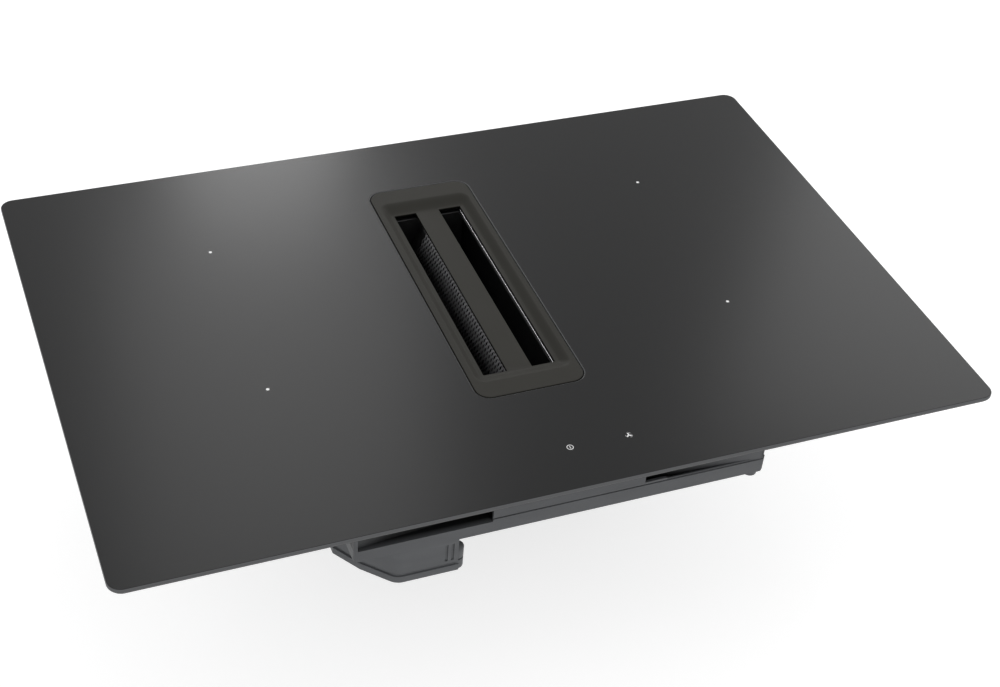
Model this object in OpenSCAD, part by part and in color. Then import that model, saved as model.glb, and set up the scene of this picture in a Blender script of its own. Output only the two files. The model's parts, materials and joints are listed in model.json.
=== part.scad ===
// Downdraft induction cooktop: a black glass top with four induction zones and,
// in the middle, an air inlet that draws cooking vapour down through a grease
// filter into a flat fan housing under the worktop.
// X runs to the right, Y to the back and Z up. The origin is the centre of the
// worktop plane, which is the face that the rim seal rests on. All in millimetres.

/* [Glass] */
// Width of the glass
glass_w = 780; // [760:5:840]
// Depth of the glass
glass_d = 520; // [510:5:540]
// Thickness of the glass
glass_t = 4; // [4:0.5:6]
// Radius of the glass corners
glass_r = 12; // [6:1:16]
// Thickness of the foam seal between glass and worktop
seal_t = 2; // [1:0.5:4]
// Width of the foam seal
seal_w = 10; // [6:1:12]
// Width of worktop that the glass covers, from its edge to the cut-out
lap = 15; // [12:1:18]

/* [Inlet grille] */
// Middle of the inlet, measured to the back from the middle of the glass
inlet_y = 22; // [18:1:26]
// Width of the grille
grille_w = 100; // [98:1:104]
// Length of the grille, front to back
grille_l = 315; // [310:1:320]
// Radius of the grille corners
grille_r = 13; // [8:1:16]
// Gap between the grille and the edge of the glass
grille_gap = 1; // [0.5:0.5:2]
// Flat rim along the long sides
rim_side = 5; // [4:0.5:6]
// Flat rim at the front and back end
rim_end = 20; // [18:1:22]
// Run of the slope along the long sides
slope_side = 8; // [6:0.5:9]
// Run of the slope at the ends
slope_end = 13; // [10:1:14]
// Drop from the glass to the floor of the dish
dish_drop = 5.3; // [4:0.1:6]
// Flat strip between a slot and the slope at its side
slot_side = 3.3; // [2.8:0.1:5]
// Flat strip between a slot and the slope at its end
slot_end = 1.5; // [1:0.5:6]
// Width of the bar between the slots
bar_w = 23.4; // [22:0.1:26]
// Height of the turned edge round a slot
slot_depth = 6; // [5:0.5:8]
// Wall of the grille casting
grille_wall = 3; // [2.5:0.25:3.5]

/* [Filter] */
// Play of the filter cassette in the opening, all round
cassette_play = 2; // [1.5:0.5:3]
// Thickness of a mesh panel
mesh_t = 2; // [1.5:0.5:3]
// Distance from the foot of the filter tent to the side of the cassette
tent_inset = 9; // [8:1:11]
// Sheet thickness of the filter frame
frame_t = 1.5; // [1:0.25:2]
// Height of the drip tray
drip_h = 16; // [12:1:20]
// Width of the gutter from the foot of the tent inwards
gutter_w = 13; // [11:1:15]

/* [Coil tray] */
// Play between the tray and the sides of the cut-out
tray_play = 5; // [4:1:8]
// Play between the tray and the back of the cut-out
back_play = 9; // [7:1:12]
// Depth of the tray below the glass
tray_depth = 48; // [46:1:52]
// Sheet thickness of the tray
tray_t = 1; // [0.8:0.1:1.5]

/* [Induction] */
// Distance of the zone centres from the side of the tray
zone_side = 151.5; // [148:0.5:156]
// Distance of the rear zones from the back of the tray
zone_rear = 107; // [104:1:110]
// Distance between the front and the rear zones
zone_pitch = 201; // [199:1:204]
// Outer radius of a winding
coil_r = 90; // [80:1:94]
// Inner radius of a winding
coil_hole = 24; // [20:1:28]
// Turns of a winding
coil_turns = 14; // [10:1:16]
// Height of the wire bundle
coil_t = 4; // [3:0.5:4.5]
// Ferrite bars under each winding
ferrites = 8; // [6:1:10]

/* [Underbody] */
// Width of the moulded pan
pan_w = 377; // [370:1:384]
// Play between the pan and the front of the cut-out
front_play = 21; // [18:1:24]
// Depth of the touch control housing, front to back
touch_d = 35; // [33:1:37]
// Distance of the back of the pan from the back of the tray
pan_inset = 8; // [6:1:10]
// Height of the pan under the tray
pan_h = 16; // [14:1:18]
// Wall of the moulded parts
wall = 2.5; // [2:0.25:3]
// Depth of the touch control housing below the glass
touch_h = 36; // [34:1:38]
// Width of the connection box
box_w = 94; // [90:1:98]
// Length of the connection box, front to back
box_d = 78; // [76:1:84]
// Length that the cut corner takes off the front of the connection box
box_cut = 40; // [34:1:44]
// Depth of the connection box below the pan
box_h = 36; // [32:1:40]
// Radius of the front corner of the connection box
box_r = 14; // [11:1:18]
// Height of the lid of the connection box
lid_h = 10; // [8:1:12]

/* [Extractor fan] */
// Distance of the fan's centre behind the middle of the inlet
fan_back = 28; // [26:1:32]
// Radius of the fan wheel
wheel_r = 79; // [74:1:80]
// Height of the fan wheel
wheel_h = 60; // [54:1:62]
// Blades of the fan wheel
wheel_blades = 36; // [24:2:42]
// Radius of the volute at its tongue
volute_r = 88; // [86:1:90]
// Growth of the volute radius towards the outlet
volute_grow = 40; // [36:1:42]
// Height of the suction chamber
chamber_h = 56.5; // [52:0.5:60]
// Height of the volute
volute_h = 79.5; // [76:0.5:84]
// Radius of the throat of the inlet ring
throat_r = 61; // [56:1:62]

/* [Outlet] */
// Outer width of the flat duct spigot
duct_w = 222; // [218:1:226]
// Outer height of the flat duct spigot
duct_h = 89; // [84:1:90]
// Middle of the spigot, sideways
duct_x = -76; // [-84:1:-70]
// Length of the spigot
duct_l = 46; // [44:1:48]
// Length over which the air way rises from the volute to the spigot
rise_l = 15.5; // [12:0.5:18]

/* [Hidden] */
$fn = 48;

// Fits and clearances
seat = 0.3;          // a loose piece lies this far from its seat
run = 0.05;          // radial running clearance of a shaft in its bore
slip = 2;            // play of the cassette in the duct
eps = 0.1;           // overshoot of a cut

// Levels, from the glass down
glass_z = seal_t;
top_z = glass_z + glass_t;
dish_z = top_z - dish_drop;
slot_z = dish_z - slot_depth;
tray_z = glass_z - tray_depth;
pan_z = tray_z - pan_h;
box_z = pan_z - box_h;
lid_z = box_z + lid_h;
chamber_z = pan_z - chamber_h;
volute_z = chamber_z - volute_h;

// Cut-out in the worktop, and the faces of the tray and the pan
cutout_w = glass_w - 2 * lap;
cutout_d = glass_d - 2 * lap;
tray_w = cutout_w - 2 * tray_play;
tray_back = cutout_d / 2 - back_play;
pan_front = front_play - cutout_d / 2;
touch_back = pan_front + touch_d;
tray_front = touch_back + 1;
pan_back = tray_back - pan_inset;

// Inlet: the grille's rim rests on a ledge as wide as this
ledge = 6;
flange = 15;
opening_w = grille_w - 2 * ledge;
opening_l = grille_l - 2 * ledge;
flange_w = grille_w + 2 * flange;
flange_l = grille_l + 2 * flange;
flange_t = 1.8;
collar_h = 8;
dish_w = grille_w - 2 * rim_side;
dish_l = grille_l - 2 * rim_end;
slot_w = (dish_w - bar_w) / 2 - slope_side - slot_side;
slot_l = dish_l - 2 * slope_end - 2 * slot_end;
slot_x = (bar_w + slot_w) / 2;
slot_y0 = inlet_y - slot_l / 2;
slot_y1 = inlet_y + slot_l / 2;

// Inlet duct and what stands in it
cassette_w = opening_w - 2 * cassette_play;
cassette_l = opening_l - 2 * cassette_play;
tent_foot = cassette_w / 2 - tent_inset;
drip_open = 2 * (tent_foot - gutter_w);
tube_in_w = cassette_w + 1 + 2 * slip;
tube_in_l = cassette_l + 2 + 2 * slip;
tube_w = tube_in_w + 4;
tube_l = tube_in_l + 4;
tube_top = glass_z - flange_t - collar_h;
tube_z = pan_z - 35;
ledge_w = 6;
ledge_t = 3;
drip_w = cassette_w + 1;
drip_l = cassette_l + 2;
drip_z = tube_z + ledge_t + seat;
drip_wall = 1.5;
drip_top = drip_z + drip_h;
frame_top = slot_z - seat;
apex_x = 3;
apex_z = frame_top - 2 * frame_t;
foot_z = drip_top - 6;
tent_angle = atan((tent_foot - apex_x) / (apex_z - foot_z));
tent_len = (apex_z - foot_z) / cos(tent_angle);
mesh_l = slot_l;

// Coil tray and what it holds
tray_l = tray_back - tray_front;
zone_x = tray_w / 2 - zone_side;
zone_back = tray_back - zone_rear;
zone_front = zone_back - zone_pitch;
tray_y = (tray_back + tray_front) / 2;
well_w = tube_w + 4;
well_l = tube_l + 4;
floor_z = tray_z + tray_t;
mat_t = 0.8;
mat_z = glass_z - mat_t - 0.1;
coil_z = mat_z - 0.1 - coil_t;
carrier_t = 2;
carrier_z = coil_z - 0.1 - carrier_t;
ferrite_t = 4;
ferrite_z = carrier_z - ferrite_t;
shelf_t = 1.2;
shelf_z = ferrite_z - 0.2 - shelf_t;
shelf_x0 = well_w / 2 + 8;
shelf_x1 = tray_w / 2 - 10;
shelf_y0 = tray_front + 10;
shelf_y1 = tray_back - 10;
coil_pitch = (coil_r - coil_hole) / coil_turns;
board_t = 1.6;
board_z = floor_z + 4;
cooler_w = 96;
cooler_x = tray_w / 2 - cooler_w / 2 - 22;
cooler_y = tray_back - cooler_w / 2 - 20;
board_x0 = well_w / 2 + 42;
board_x1 = tray_w / 2 - 25;
board_y0 = tray_front + 38;
board_y1 = cooler_y - cooler_w / 2 - 8;
sink_w = 70;
sink_h = 22;
sink_x = board_x1 - sink_w / 2 - 10;
sink_y0 = board_y0 + 35;
sink_y1 = board_y1 - 7;
cap_r = 12;
cap_h = 22;
cap_pitch = 32;
relay = [14, 18, 14];
relay_pitch = 24;
choke_r = 16;
cooler_h = 26;
cooler_r = 36;
cooler_pin = 3;

// Underbody
touch_x0 = -pan_w / 2 - 44.5;
touch_x1 = pan_w / 2 - 2.5;
touch_y = pan_front + 11.4;
keys = [-40, 0.5, 53.2, 90, 110];
key_t = 1;
touch_board_z = glass_z - 8;
touch_z = glass_z - touch_h;
beam_top = touch_z - seat;
pan_l = pan_back - pan_front;
pan_y = (pan_back + pan_front) / 2;
boss_r = 6.5;
box_x0 = -pan_w / 2 - 2.5;
box_x1 = box_x0 + box_w;
box_y1 = pan_front + box_d;
box_screw = [box_x1 + 0.5, pan_front + boss_r + 0.5];
box_boss = 15;
lid_proud = 0.8;     // the lid stands out this far from the box
lid_gap = 3;         // height and depth of the shadow gap above the lid
lid_reveal = 1.4;
end_step = 3;        // set-back of the upper strip at the right end of the beam
end_bevel = 3;
end_screw = [pan_w / 2 - end_bevel - boss_r - 0.5, pan_front + boss_r + 0.5];
band_x0 = -pan_w / 2 + 3;
band_x1 = band_x0 + 117.5;
notch_x0 = band_x1 - 40;
band_start = 4;      // depth of the sunk band at its left end and from the notch on
band_depth = 11.5;
gland_x = box_x0 + 41;
gland_r = 8;
gland_bore = 6.2;
gland_nut = 10;
gland_len = 16;
gland_z = (lid_z + pan_z - wall) / 2;
pan_bosses = [for (x = [-1, 1], y = [pan_front + 134, pan_y + 58, pan_back - 18])
  [x * (pan_w / 2 - 14), y]];
spring_y = [tray_front + 68, tray_back - 86];
spring_z = -20;
end_boss = 4;
terminal_x = box_x0 + 25;
terminal_y = box_y1 - 36;

// Fan
fan_y = inlet_y + fan_back;
hub_r = 46;
motor_r = 40;
motor_h = 40;
shaft_r = 4;
bush_h = 2;
motor_z = volute_z + wall + bush_h;
motor_ear = 3;
wheel_z = motor_z + motor_ear + 4;
wheel_in = throat_r + 5;
outlet_y = fan_y + volute_r + 12;
tongue_a = 125;
turn = 305;
tongue_x = volute_r * cos(tongue_a);
volute_end = volute_r + volute_grow;
chamber_w = 2 * (volute_r + 24);
chamber_gap = 1;
chamber_flange = 8;
chamber_y0 = inlet_y - tube_l / 2 - chamber_gap - wall;
chamber_y1 = inlet_y + tube_l / 2 + chamber_gap + wall;
flange_screws = [for (x = [-1, 1], y = [chamber_y0 + 40, inlet_y, chamber_y1 - 40])
  [x * (chamber_w + chamber_flange) / 2, y]];
ear_r = 6;
ear_angles = [15, 60, 105, 150, 195, 240, 285];
screw_r = 2;
head_r = 3.6;
head_t = 2;
lip_r = 10;
motor_angles = [30, 150, 270];

// Outlet
spigot_y0 = chamber_y1 + 1 + rise_l;
spigot_y1 = spigot_y0 + duct_l;
duct_z = volute_z + 3 + duct_h / 2;
duct_in_w = duct_w - 4;
duct_in_h = duct_h - 4;
pin_r = 1.5;
knuckle_r = 3;
flap_h = duct_in_h / 2 - 1.5;
flap_t = 1.5;
flap_y = spigot_y0 + 6;
flap_top = duct_z + duct_in_h / 2 - knuckle_r - 1;
flap_z = [flap_top, flap_top - flap_h];

// A rectangle with round corners, centred
module rounded(w, d, r) {
  square([w - 2 * r, d], center = true);
  square([w, d - 2 * r], center = true);
  for (x = [-1, 1], y = [-1, 1])
    translate([x * (w / 2 - r), y * (d / 2 - r)]) circle(r);
}

// The same as a plate from z0 to z1
module plate(w, d, r, z0, z1) {
  translate([0, 0, z0]) linear_extrude(z1 - z0) rounded(w, d, r);
}

// A block from one corner to the other
module block(a, b) {
  translate(a) cube([b[0] - a[0], b[1] - a[1], b[2] - a[2]]);
}

// The right-hand piece on the left
module left() {
  mirror([1, 0, 0]) children();
}

// Glass and seal

module glass_top() {
  color([0.13, 0.13, 0.14]) difference() {
    plate(glass_w, glass_d, glass_r, glass_z, top_z);
    translate([0, inlet_y, 0])
      plate(grille_w + 2 * grille_gap, grille_l + 2 * grille_gap, grille_r + grille_gap,
            glass_z - eps, top_z + eps);
  }
}

module worktop_seal() {
  inset = 2;
  color([0.2, 0.2, 0.2]) difference() {
    plate(glass_w - 2 * inset, glass_d - 2 * inset, glass_r - inset, 0, seal_t);
    plate(glass_w - 2 * inset - 2 * seal_w, glass_d - 2 * inset - 2 * seal_w,
          2, -eps, seal_t + eps);
  }
}

// Inlet grille: a flat rim, a soft slope all round, and two slots with turned edges

module dish() {
  hull() {
    translate([0, inlet_y, 0])
      plate(dish_w, dish_l, 8, top_z, top_z + 0.01, $fn = 32);
    translate([0, inlet_y, 0])
      plate(dish_w - 2 * slope_side, dish_l - 2 * slope_end, 3, dish_z, dish_z + 0.01, $fn = 32);
  }
}

// The underside of the dish, which hangs through the opening of the frame
module dish_shell() {
  drop = (top_z - glass_z) / dish_drop;
  under = dish_z - grille_wall;
  hull() {
    translate([0, inlet_y, 0])
      plate(dish_w - 2 * slope_side * drop + 3 * grille_wall,
            dish_l - 2 * slope_end * drop + 3 * grille_wall, 6, glass_z, glass_z + 0.5, $fn = 32);
    translate([0, inlet_y, 0])
      plate(dish_w - 2 * slope_side + grille_wall,
            dish_l - 2 * slope_end + grille_wall, 4, under, under + 0.01, $fn = 32);
  }
}

module slots(grow, z0, z1) {
  for (x = [-slot_x, slot_x])
    translate([x, inlet_y, 0]) plate(slot_w + 2 * grow, slot_l + 2 * grow, 1.5 + grow, z0, z1);
}

module inlet_grille() {
  color([0.26, 0.255, 0.24]) difference() {
    union() {
      translate([0, inlet_y, 0]) plate(grille_w, grille_l, grille_r, glass_z, top_z);
      dish_shell();
      slots(1.6, slot_z, dish_z);
    }
    dish();
    slots(0, slot_z - eps, top_z);
  }
}

// The frame bonded under the glass: its ledge carries the grille's rim
module inlet_frame() {
  color([0.1, 0.1, 0.1]) translate([0, inlet_y, 0]) difference() {
    union() {
      plate(flange_w, flange_l, 20, glass_z - flange_t, glass_z);
      plate(tube_w, tube_l, 10, tube_top, glass_z - flange_t / 2);
    }
    plate(opening_w, opening_l, 8, tube_top - eps, top_z);
  }
}

// Grease filter cassette: a tent of two mesh panels in a sheet steel frame

module filter_frame() {
  color([0.7, 0.71, 0.72]) {
    difference() {
      translate([0, inlet_y, 0]) plate(cassette_w, cassette_l, 6, frame_top - frame_t, frame_top);
      translate([0, inlet_y, 0])
        plate(bar_w + 2 * slot_w - 1.2, slot_l - 1, 2, frame_top - 2 * frame_t, frame_top + eps);
    }
    block([-apex_x, slot_y0, apex_z], [apex_x, slot_y1, frame_top]);
    for (y = [slot_y0 - frame_t, slot_y1])
      block([-tent_foot - 5, y, drip_top + seat], [tent_foot + 5, y + frame_t, frame_top]);
    for (s = [0, 1]) mirror([s, 0, 0]) {
      block([tent_foot + 1.5, slot_y0, foot_z - frame_t], [tent_foot + 3, slot_y1, foot_z + 9]);
      block([tent_foot - 4, slot_y0, foot_z - frame_t], [tent_foot + 3, slot_y1, foot_z]);
    }
  }
}

// One panel, flat in its own plane: x runs down the slope
module mesh_panel() {
  rows = 5;
  cols = 27;
  du = tent_len / rows;
  dv = mesh_l / cols;
  linear_extrude(mesh_t) difference() {
    translate([0, slot_y0]) square([tent_len, mesh_l]);
    for (i = [0:rows - 1], j = [0:cols - 1])
      translate([(i + 0.5) * du, slot_y0 + (j + 0.5) * dv])
        polygon([[-0.42 * du, 0], [0, -0.36 * dv], [0.42 * du, 0], [0, 0.36 * dv]]);
  }
}

module filter_mesh_right() {
  color([0.75, 0.76, 0.77]) intersection() {
    translate([apex_x - mesh_t, 0, apex_z]) rotate([0, 90 - tent_angle, 0]) mesh_panel();
    block([0, slot_y0, foot_z], [tent_foot + 1, slot_y1, apex_z]);
  }
}

module filter_mesh_left() {
  left() filter_mesh_right();
}

module filter_grip() {
  color([0.15, 0.15, 0.15]) translate([0, inlet_y, 0]) difference() {
    block([-4, -22, frame_top], [4, 22, frame_top + 2.6]);
    block([-2, -16, frame_top + 1], [2, 16, frame_top + 3]);
  }
}

// Drip tray: a gutter all round a central air opening
module drip_tray() {
  color([0.55, 0.56, 0.57]) translate([0, inlet_y, 0]) difference() {
    plate(drip_w, drip_l, 7, drip_z, drip_top);
    difference() {
      plate(drip_w - 2 * drip_wall, drip_l - 2 * drip_wall, 5.5, drip_z + drip_wall, drip_top + eps);
      plate(drip_open + 2 * drip_wall, slot_l + 2 * drip_wall, 3, drip_z, drip_top + 1);
    }
    plate(drip_open, slot_l, 2, drip_z - eps, drip_top + 1);
  }
}

// Inlet duct from the frame down into the suction chamber
module inlet_duct() {
  color([0.16, 0.16, 0.17]) translate([0, inlet_y, 0]) difference() {
    union() {
      plate(tube_w, tube_l, 10, tube_z, tube_top);
      plate(tube_w + 24, tube_l + 24, 16, tray_z - wall, tray_z);
    }
    plate(tube_in_w, tube_in_l, 8, tube_z + ledge_t, tube_top + eps);
    plate(tube_in_w - 2 * ledge_w, tube_in_l - 2 * ledge_w, 4, tube_z - eps, tube_top);
  }
}

// Coil tray and the induction parts

module tray_floor_cuts() {
  // air intake slots under each cooling fan
  for (s = [-1, 1], ring = [0:2])
    translate([s * cooler_x, cooler_y, tray_z - eps])
      for (a = [0:45:315]) rotate([0, 0, a + 10 * ring])
        translate([10 + 9 * ring, 0, 0]) linear_extrude(tray_t + 2 * eps)
          rounded(3.5, 4 + 6 * ring, 1.5);
  // warm air leaves through louvres at the front, beside the pan
  for (s = [-1, 1], i = [0:6])
    translate([s * (pan_w / 2 + 22 + 18 * i), tray_front + 22, tray_z - eps])
      linear_extrude(tray_t + 2 * eps) rounded(5, 26, 2);
}

module coil_tray() {
  color([0.62, 0.63, 0.64]) difference() {
    union() {
      difference() {
        translate([0, tray_y, 0]) plate(tray_w, tray_l, 8, tray_z, glass_z);
        translate([0, tray_y, 0])
          plate(tray_w - 2 * tray_t, tray_l - 2 * tray_t, 7, floor_z, glass_z - tray_t);
        translate([0, tray_y, 0])
          plate(tray_w - 18, tray_l - 18, 4, floor_z, glass_z + eps);
      }
      translate([0, inlet_y, 0])
        plate(well_w + 2 * tray_t, well_l + 2 * tray_t, 12, tray_z, glass_z - flange_t);
    }
    translate([0, inlet_y, 0]) plate(well_w, well_l, 11, tray_z - eps, glass_z + eps);
    tray_floor_cuts();
    for (x = [-1, 1], y = spring_y)
      translate([x * tray_w / 2, y, spring_z]) rotate([0, 90, 0])
        cylinder(r = screw_r + run, h = 6, center = true);
    for (p = pan_bosses) translate([p[0], p[1], tray_z - eps])
      cylinder(r = screw_r + run, h = tray_t + 2 * eps);
  }
}

module insulation_right() {
  color([0.8, 0.78, 0.7])
    block([flange_w / 2 + 1.5, tray_front + 12, mat_z], [shelf_x1, shelf_y1, mat_z + mat_t]);
}

module insulation_left() {
  left() insulation_right();
}

module coil_shelf_right() {
  color([0.75, 0.76, 0.77]) difference() {
    block([shelf_x0, shelf_y0, shelf_z], [shelf_x1, shelf_y1, shelf_z + shelf_t]);
    for (y = [zone_front, zone_back])
      translate([zone_x, y, shelf_z - eps]) cylinder(r = coil_hole - 8, h = shelf_t + 2 * eps);
  }
}

module coil_shelf_left() {
  left() coil_shelf_right();
}

// A flat spiral of one unbroken litz bundle
module winding(x, y) {
  steps = 24 * coil_turns;
  w = coil_pitch * 0.72;
  function edge(i, off) =
    let (r = coil_hole + off + coil_pitch * i / 24, a = 15 * i) [r * cos(a), r * sin(a)];
  color([0.72, 0.42, 0.25]) translate([x, y, coil_z]) linear_extrude(coil_t)
    polygon(concat(
      [for (i = [0:steps]) edge(i, 0)],
      [for (i = [steps:-1:0]) edge(i, w)]));
}

module coil_front_right() {
  winding(zone_x, zone_front);
}

module coil_front_left() {
  left() winding(zone_x, zone_front);
}

module coil_rear_right() {
  winding(zone_x, zone_back);
}

module coil_rear_left() {
  left() winding(zone_x, zone_back);
}

// The plastic spider that holds a winding above its ferrite bars
module carrier(x, y) {
  color([0.85, 0.85, 0.82]) translate([x, y, carrier_z]) difference() {
    cylinder(r = coil_r + 3, h = carrier_t);
    translate([0, 0, -eps]) cylinder(r = coil_hole - 6, h = carrier_t + 2 * eps);
    for (i = [0:ferrites - 1]) rotate([0, 0, (i + 0.5) * 360 / ferrites])
      translate([(coil_r + coil_hole) / 2, 0, -eps])
        cylinder(r = 10, h = carrier_t + 2 * eps);
  }
}

module carrier_front_right() {
  carrier(zone_x, zone_front);
}

module carrier_front_left() {
  carrier(-zone_x, zone_front);
}

module carrier_rear_right() {
  carrier(zone_x, zone_back);
}

module carrier_rear_left() {
  carrier(-zone_x, zone_back);
}

module ferrite_bars() {
  color([0.2, 0.2, 0.22])
    for (x = [-zone_x, zone_x], y = [zone_front, zone_back], i = [0:ferrites - 1])
      translate([x, y, ferrite_z]) rotate([0, 0, i * 360 / ferrites])
        block([coil_hole + 3, -6, 0], [coil_r - 6, 6, ferrite_t]);
}

// The temperature feeler in the middle of each winding
module coil_sensors() {
  color([0.9, 0.9, 0.86])
    for (x = [-zone_x, zone_x], y = [zone_front, zone_back])
      translate([x, y, 0]) {
        translate([0, 0, shelf_z - 3]) cylinder(r = 5, h = mat_z - 0.1 - shelf_z + 3);
        translate([0, 0, shelf_z + shelf_t + 0.1]) cylinder(r = coil_hole - 7, h = 2);
      }
}

module shelf_posts() {
  color([0.7, 0.7, 0.72])
    for (s = [-1, 1], x = [shelf_x0 + 6, shelf_x1 - 6], y = [shelf_y0 + 6, inlet_y, shelf_y1 - 6])
      translate([s * x, y, floor_z]) cylinder(r = 4, h = shelf_z - floor_z);
}

module power_board_right() {
  color([0.1, 0.35, 0.2]) {
    block([board_x0, board_y0, board_z], [board_x1, board_y1, board_z + board_t]);
    for (x = [board_x0 + 8, board_x1 - 8], y = [board_y0 + 8, board_y1 - 8])
      translate([x, y, floor_z]) cylinder(r = 3, h = board_z - floor_z);
    // filter choke and relays
    translate([board_x0 + choke_r + 6, board_y0 + choke_r + 8, board_z + board_t])
      cylinder(r = choke_r, h = relay[2]);
    for (i = [0:3])
      translate([board_x0 + 2 * cap_r + 10, board_y0 + 2 * choke_r + 18 + relay_pitch * i,
                 board_z + board_t])
        cube(relay);
  }
}

module power_board_left() {
  left() power_board_right();
}

module heat_sink_right() {
  fins = 14;
  fin_t = 1.4;
  color([0.72, 0.73, 0.74]) translate([sink_x, 0, board_z + board_t]) {
    block([-sink_w / 2, sink_y0, 0], [sink_w / 2, sink_y1, 4]);
    for (i = [0:fins - 1])
      translate([-sink_w / 2 + (sink_w - fin_t) * i / (fins - 1), sink_y0, 0])
        cube([fin_t, sink_y1 - sink_y0, sink_h]);
  }
}

module heat_sink_left() {
  left() heat_sink_right();
}

module capacitors() {
  color([0.15, 0.25, 0.55])
    for (s = [-1, 1], i = [0:3])
      translate([s * (board_x0 + cap_r + 4), board_y1 - cap_r - 8 - cap_pitch * i,
                 board_z + board_t])
        cylinder(r = cap_r, h = cap_h);
}

// Low radial cooling fan: a square housing over the intake slots, open to the front
module cooling_fan_right() {
  color([0.15, 0.15, 0.16]) translate([cooler_x, cooler_y, floor_z]) {
    difference() {
      linear_extrude(cooler_h) rounded(cooler_w, cooler_w, 8);
      translate([0, 0, -eps]) cylinder(r = cooler_r - 2, h = 4);
      translate([0, 0, 2]) cylinder(r = cooler_r + 5, h = cooler_h - 4);
      block([-30, -cooler_w / 2 - eps, 2], [cooler_r + 5, 0, cooler_h - 2]);
    }
    translate([0, 0, cooler_h - 16]) cylinder(r = cooler_pin, h = 15);
  }
}

module cooling_fan_left() {
  left() cooling_fan_right();
}

module cooling_rotor_right() {
  blades = 20;
  rotor_z = floor_z + 4;
  rotor_h = cooler_h - 8;
  color([0.25, 0.25, 0.27]) translate([cooler_x, cooler_y, rotor_z]) difference() {
    union() {
      cylinder(r = 14, h = rotor_h);
      translate([0, 0, rotor_h - 2]) cylinder(r = cooler_r, h = 2);
      for (i = [0:blades - 1]) rotate([0, 0, i * 360 / blades])
        translate([cooler_r - 12, 0, 0]) rotate([0, 0, 25])
          block([0, -0.6, 0], [12, 0.6, rotor_h - 1]);
    }
    translate([0, 0, -eps]) cylinder(r = cooler_pin + run, h = rotor_h + 2 * eps);
  }
}

module cooling_rotor_left() {
  left() cooling_rotor_right();
}

// Touch control under the front edge

module touch_housing() {
  mid = (touch_x0 + touch_x1) / 2;
  len = touch_x1 - touch_x0;
  depth = touch_back - pan_front;
  color([0.42, 0.43, 0.44]) translate([mid, pan_front + depth / 2, 0]) difference() {
    plate(len, depth, 4, touch_z, glass_z);
    plate(len - 2 * wall, depth - 2 * wall, 2, touch_z + wall, glass_z + eps);
  }
}

module touch_board() {
  color([0.1, 0.35, 0.2]) {
    block([keys[0] - 20, pan_front + wall + 1, touch_board_z],
          [keys[4] + 20, touch_back - wall - 1, touch_board_z + board_t]);
    for (x = [keys[0] - 10, keys[4] + 10])
      translate([x, (pan_front + touch_back) / 2, touch_z + wall])
        cylinder(r = 3, h = touch_board_z - touch_z - wall);
  }
}

module touch_pads() {
  color([0.85, 0.8, 0.6])
    for (x = keys) translate([x, touch_y, 0]) {
      translate([0, 0, touch_board_z + board_t])
        cylinder(r = 3, h = glass_z - seat - key_t - touch_board_z - board_t);
      translate([0, 0, glass_z - seat - key_t]) cylinder(r = 5, h = key_t);
    }
}

// Moulded pan under the tray, with the beam that shows under the front edge

module beam2d() {
  translate([0, (pan_front + touch_back) / 2])
    rounded(pan_w, touch_back - pan_front, 4);
}

// Plan of the sunk band at the left of the beam, which deepens towards the notch
module band2d(x0, y0, g) {
  polygon([
    [x0, y0], [band_x1, y0], [band_x1, pan_front + band_depth + g],
    [notch_x0, pan_front + band_depth + g], [x0, pan_front + band_start + g]]);
}

// Plan of the connection box: its front left corner is cut in two steps, and a bend
// of radius box_r leads from the front to the cut
module box2d(g) {
  steps = 6;
  mid = [box_x0 + 0.4 * box_cut, pan_front + 0.62 * box_cut];
  a = atan2(mid[1] - pan_front, mid[0] - box_x0 - box_cut);
  bend = [box_x0 + box_cut + box_r / tan(a / 2), pan_front + box_r];
  polygon(concat(
    [[box_x1 - g, pan_front + g]],
    [for (i = [0:steps]) let (t = -90 - (180 - a) * i / steps)
      bend + (box_r - g) * [cos(t), sin(t)]],
    [[mid[0] + 0.7 * g, mid[1] + 0.7 * g], [box_x0 + g, pan_front + 1.22 * box_cut + 0.4 * g],
    [box_x0 + g, box_y1 - g], [box_x1 - g, box_y1 - g]]));
}

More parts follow.
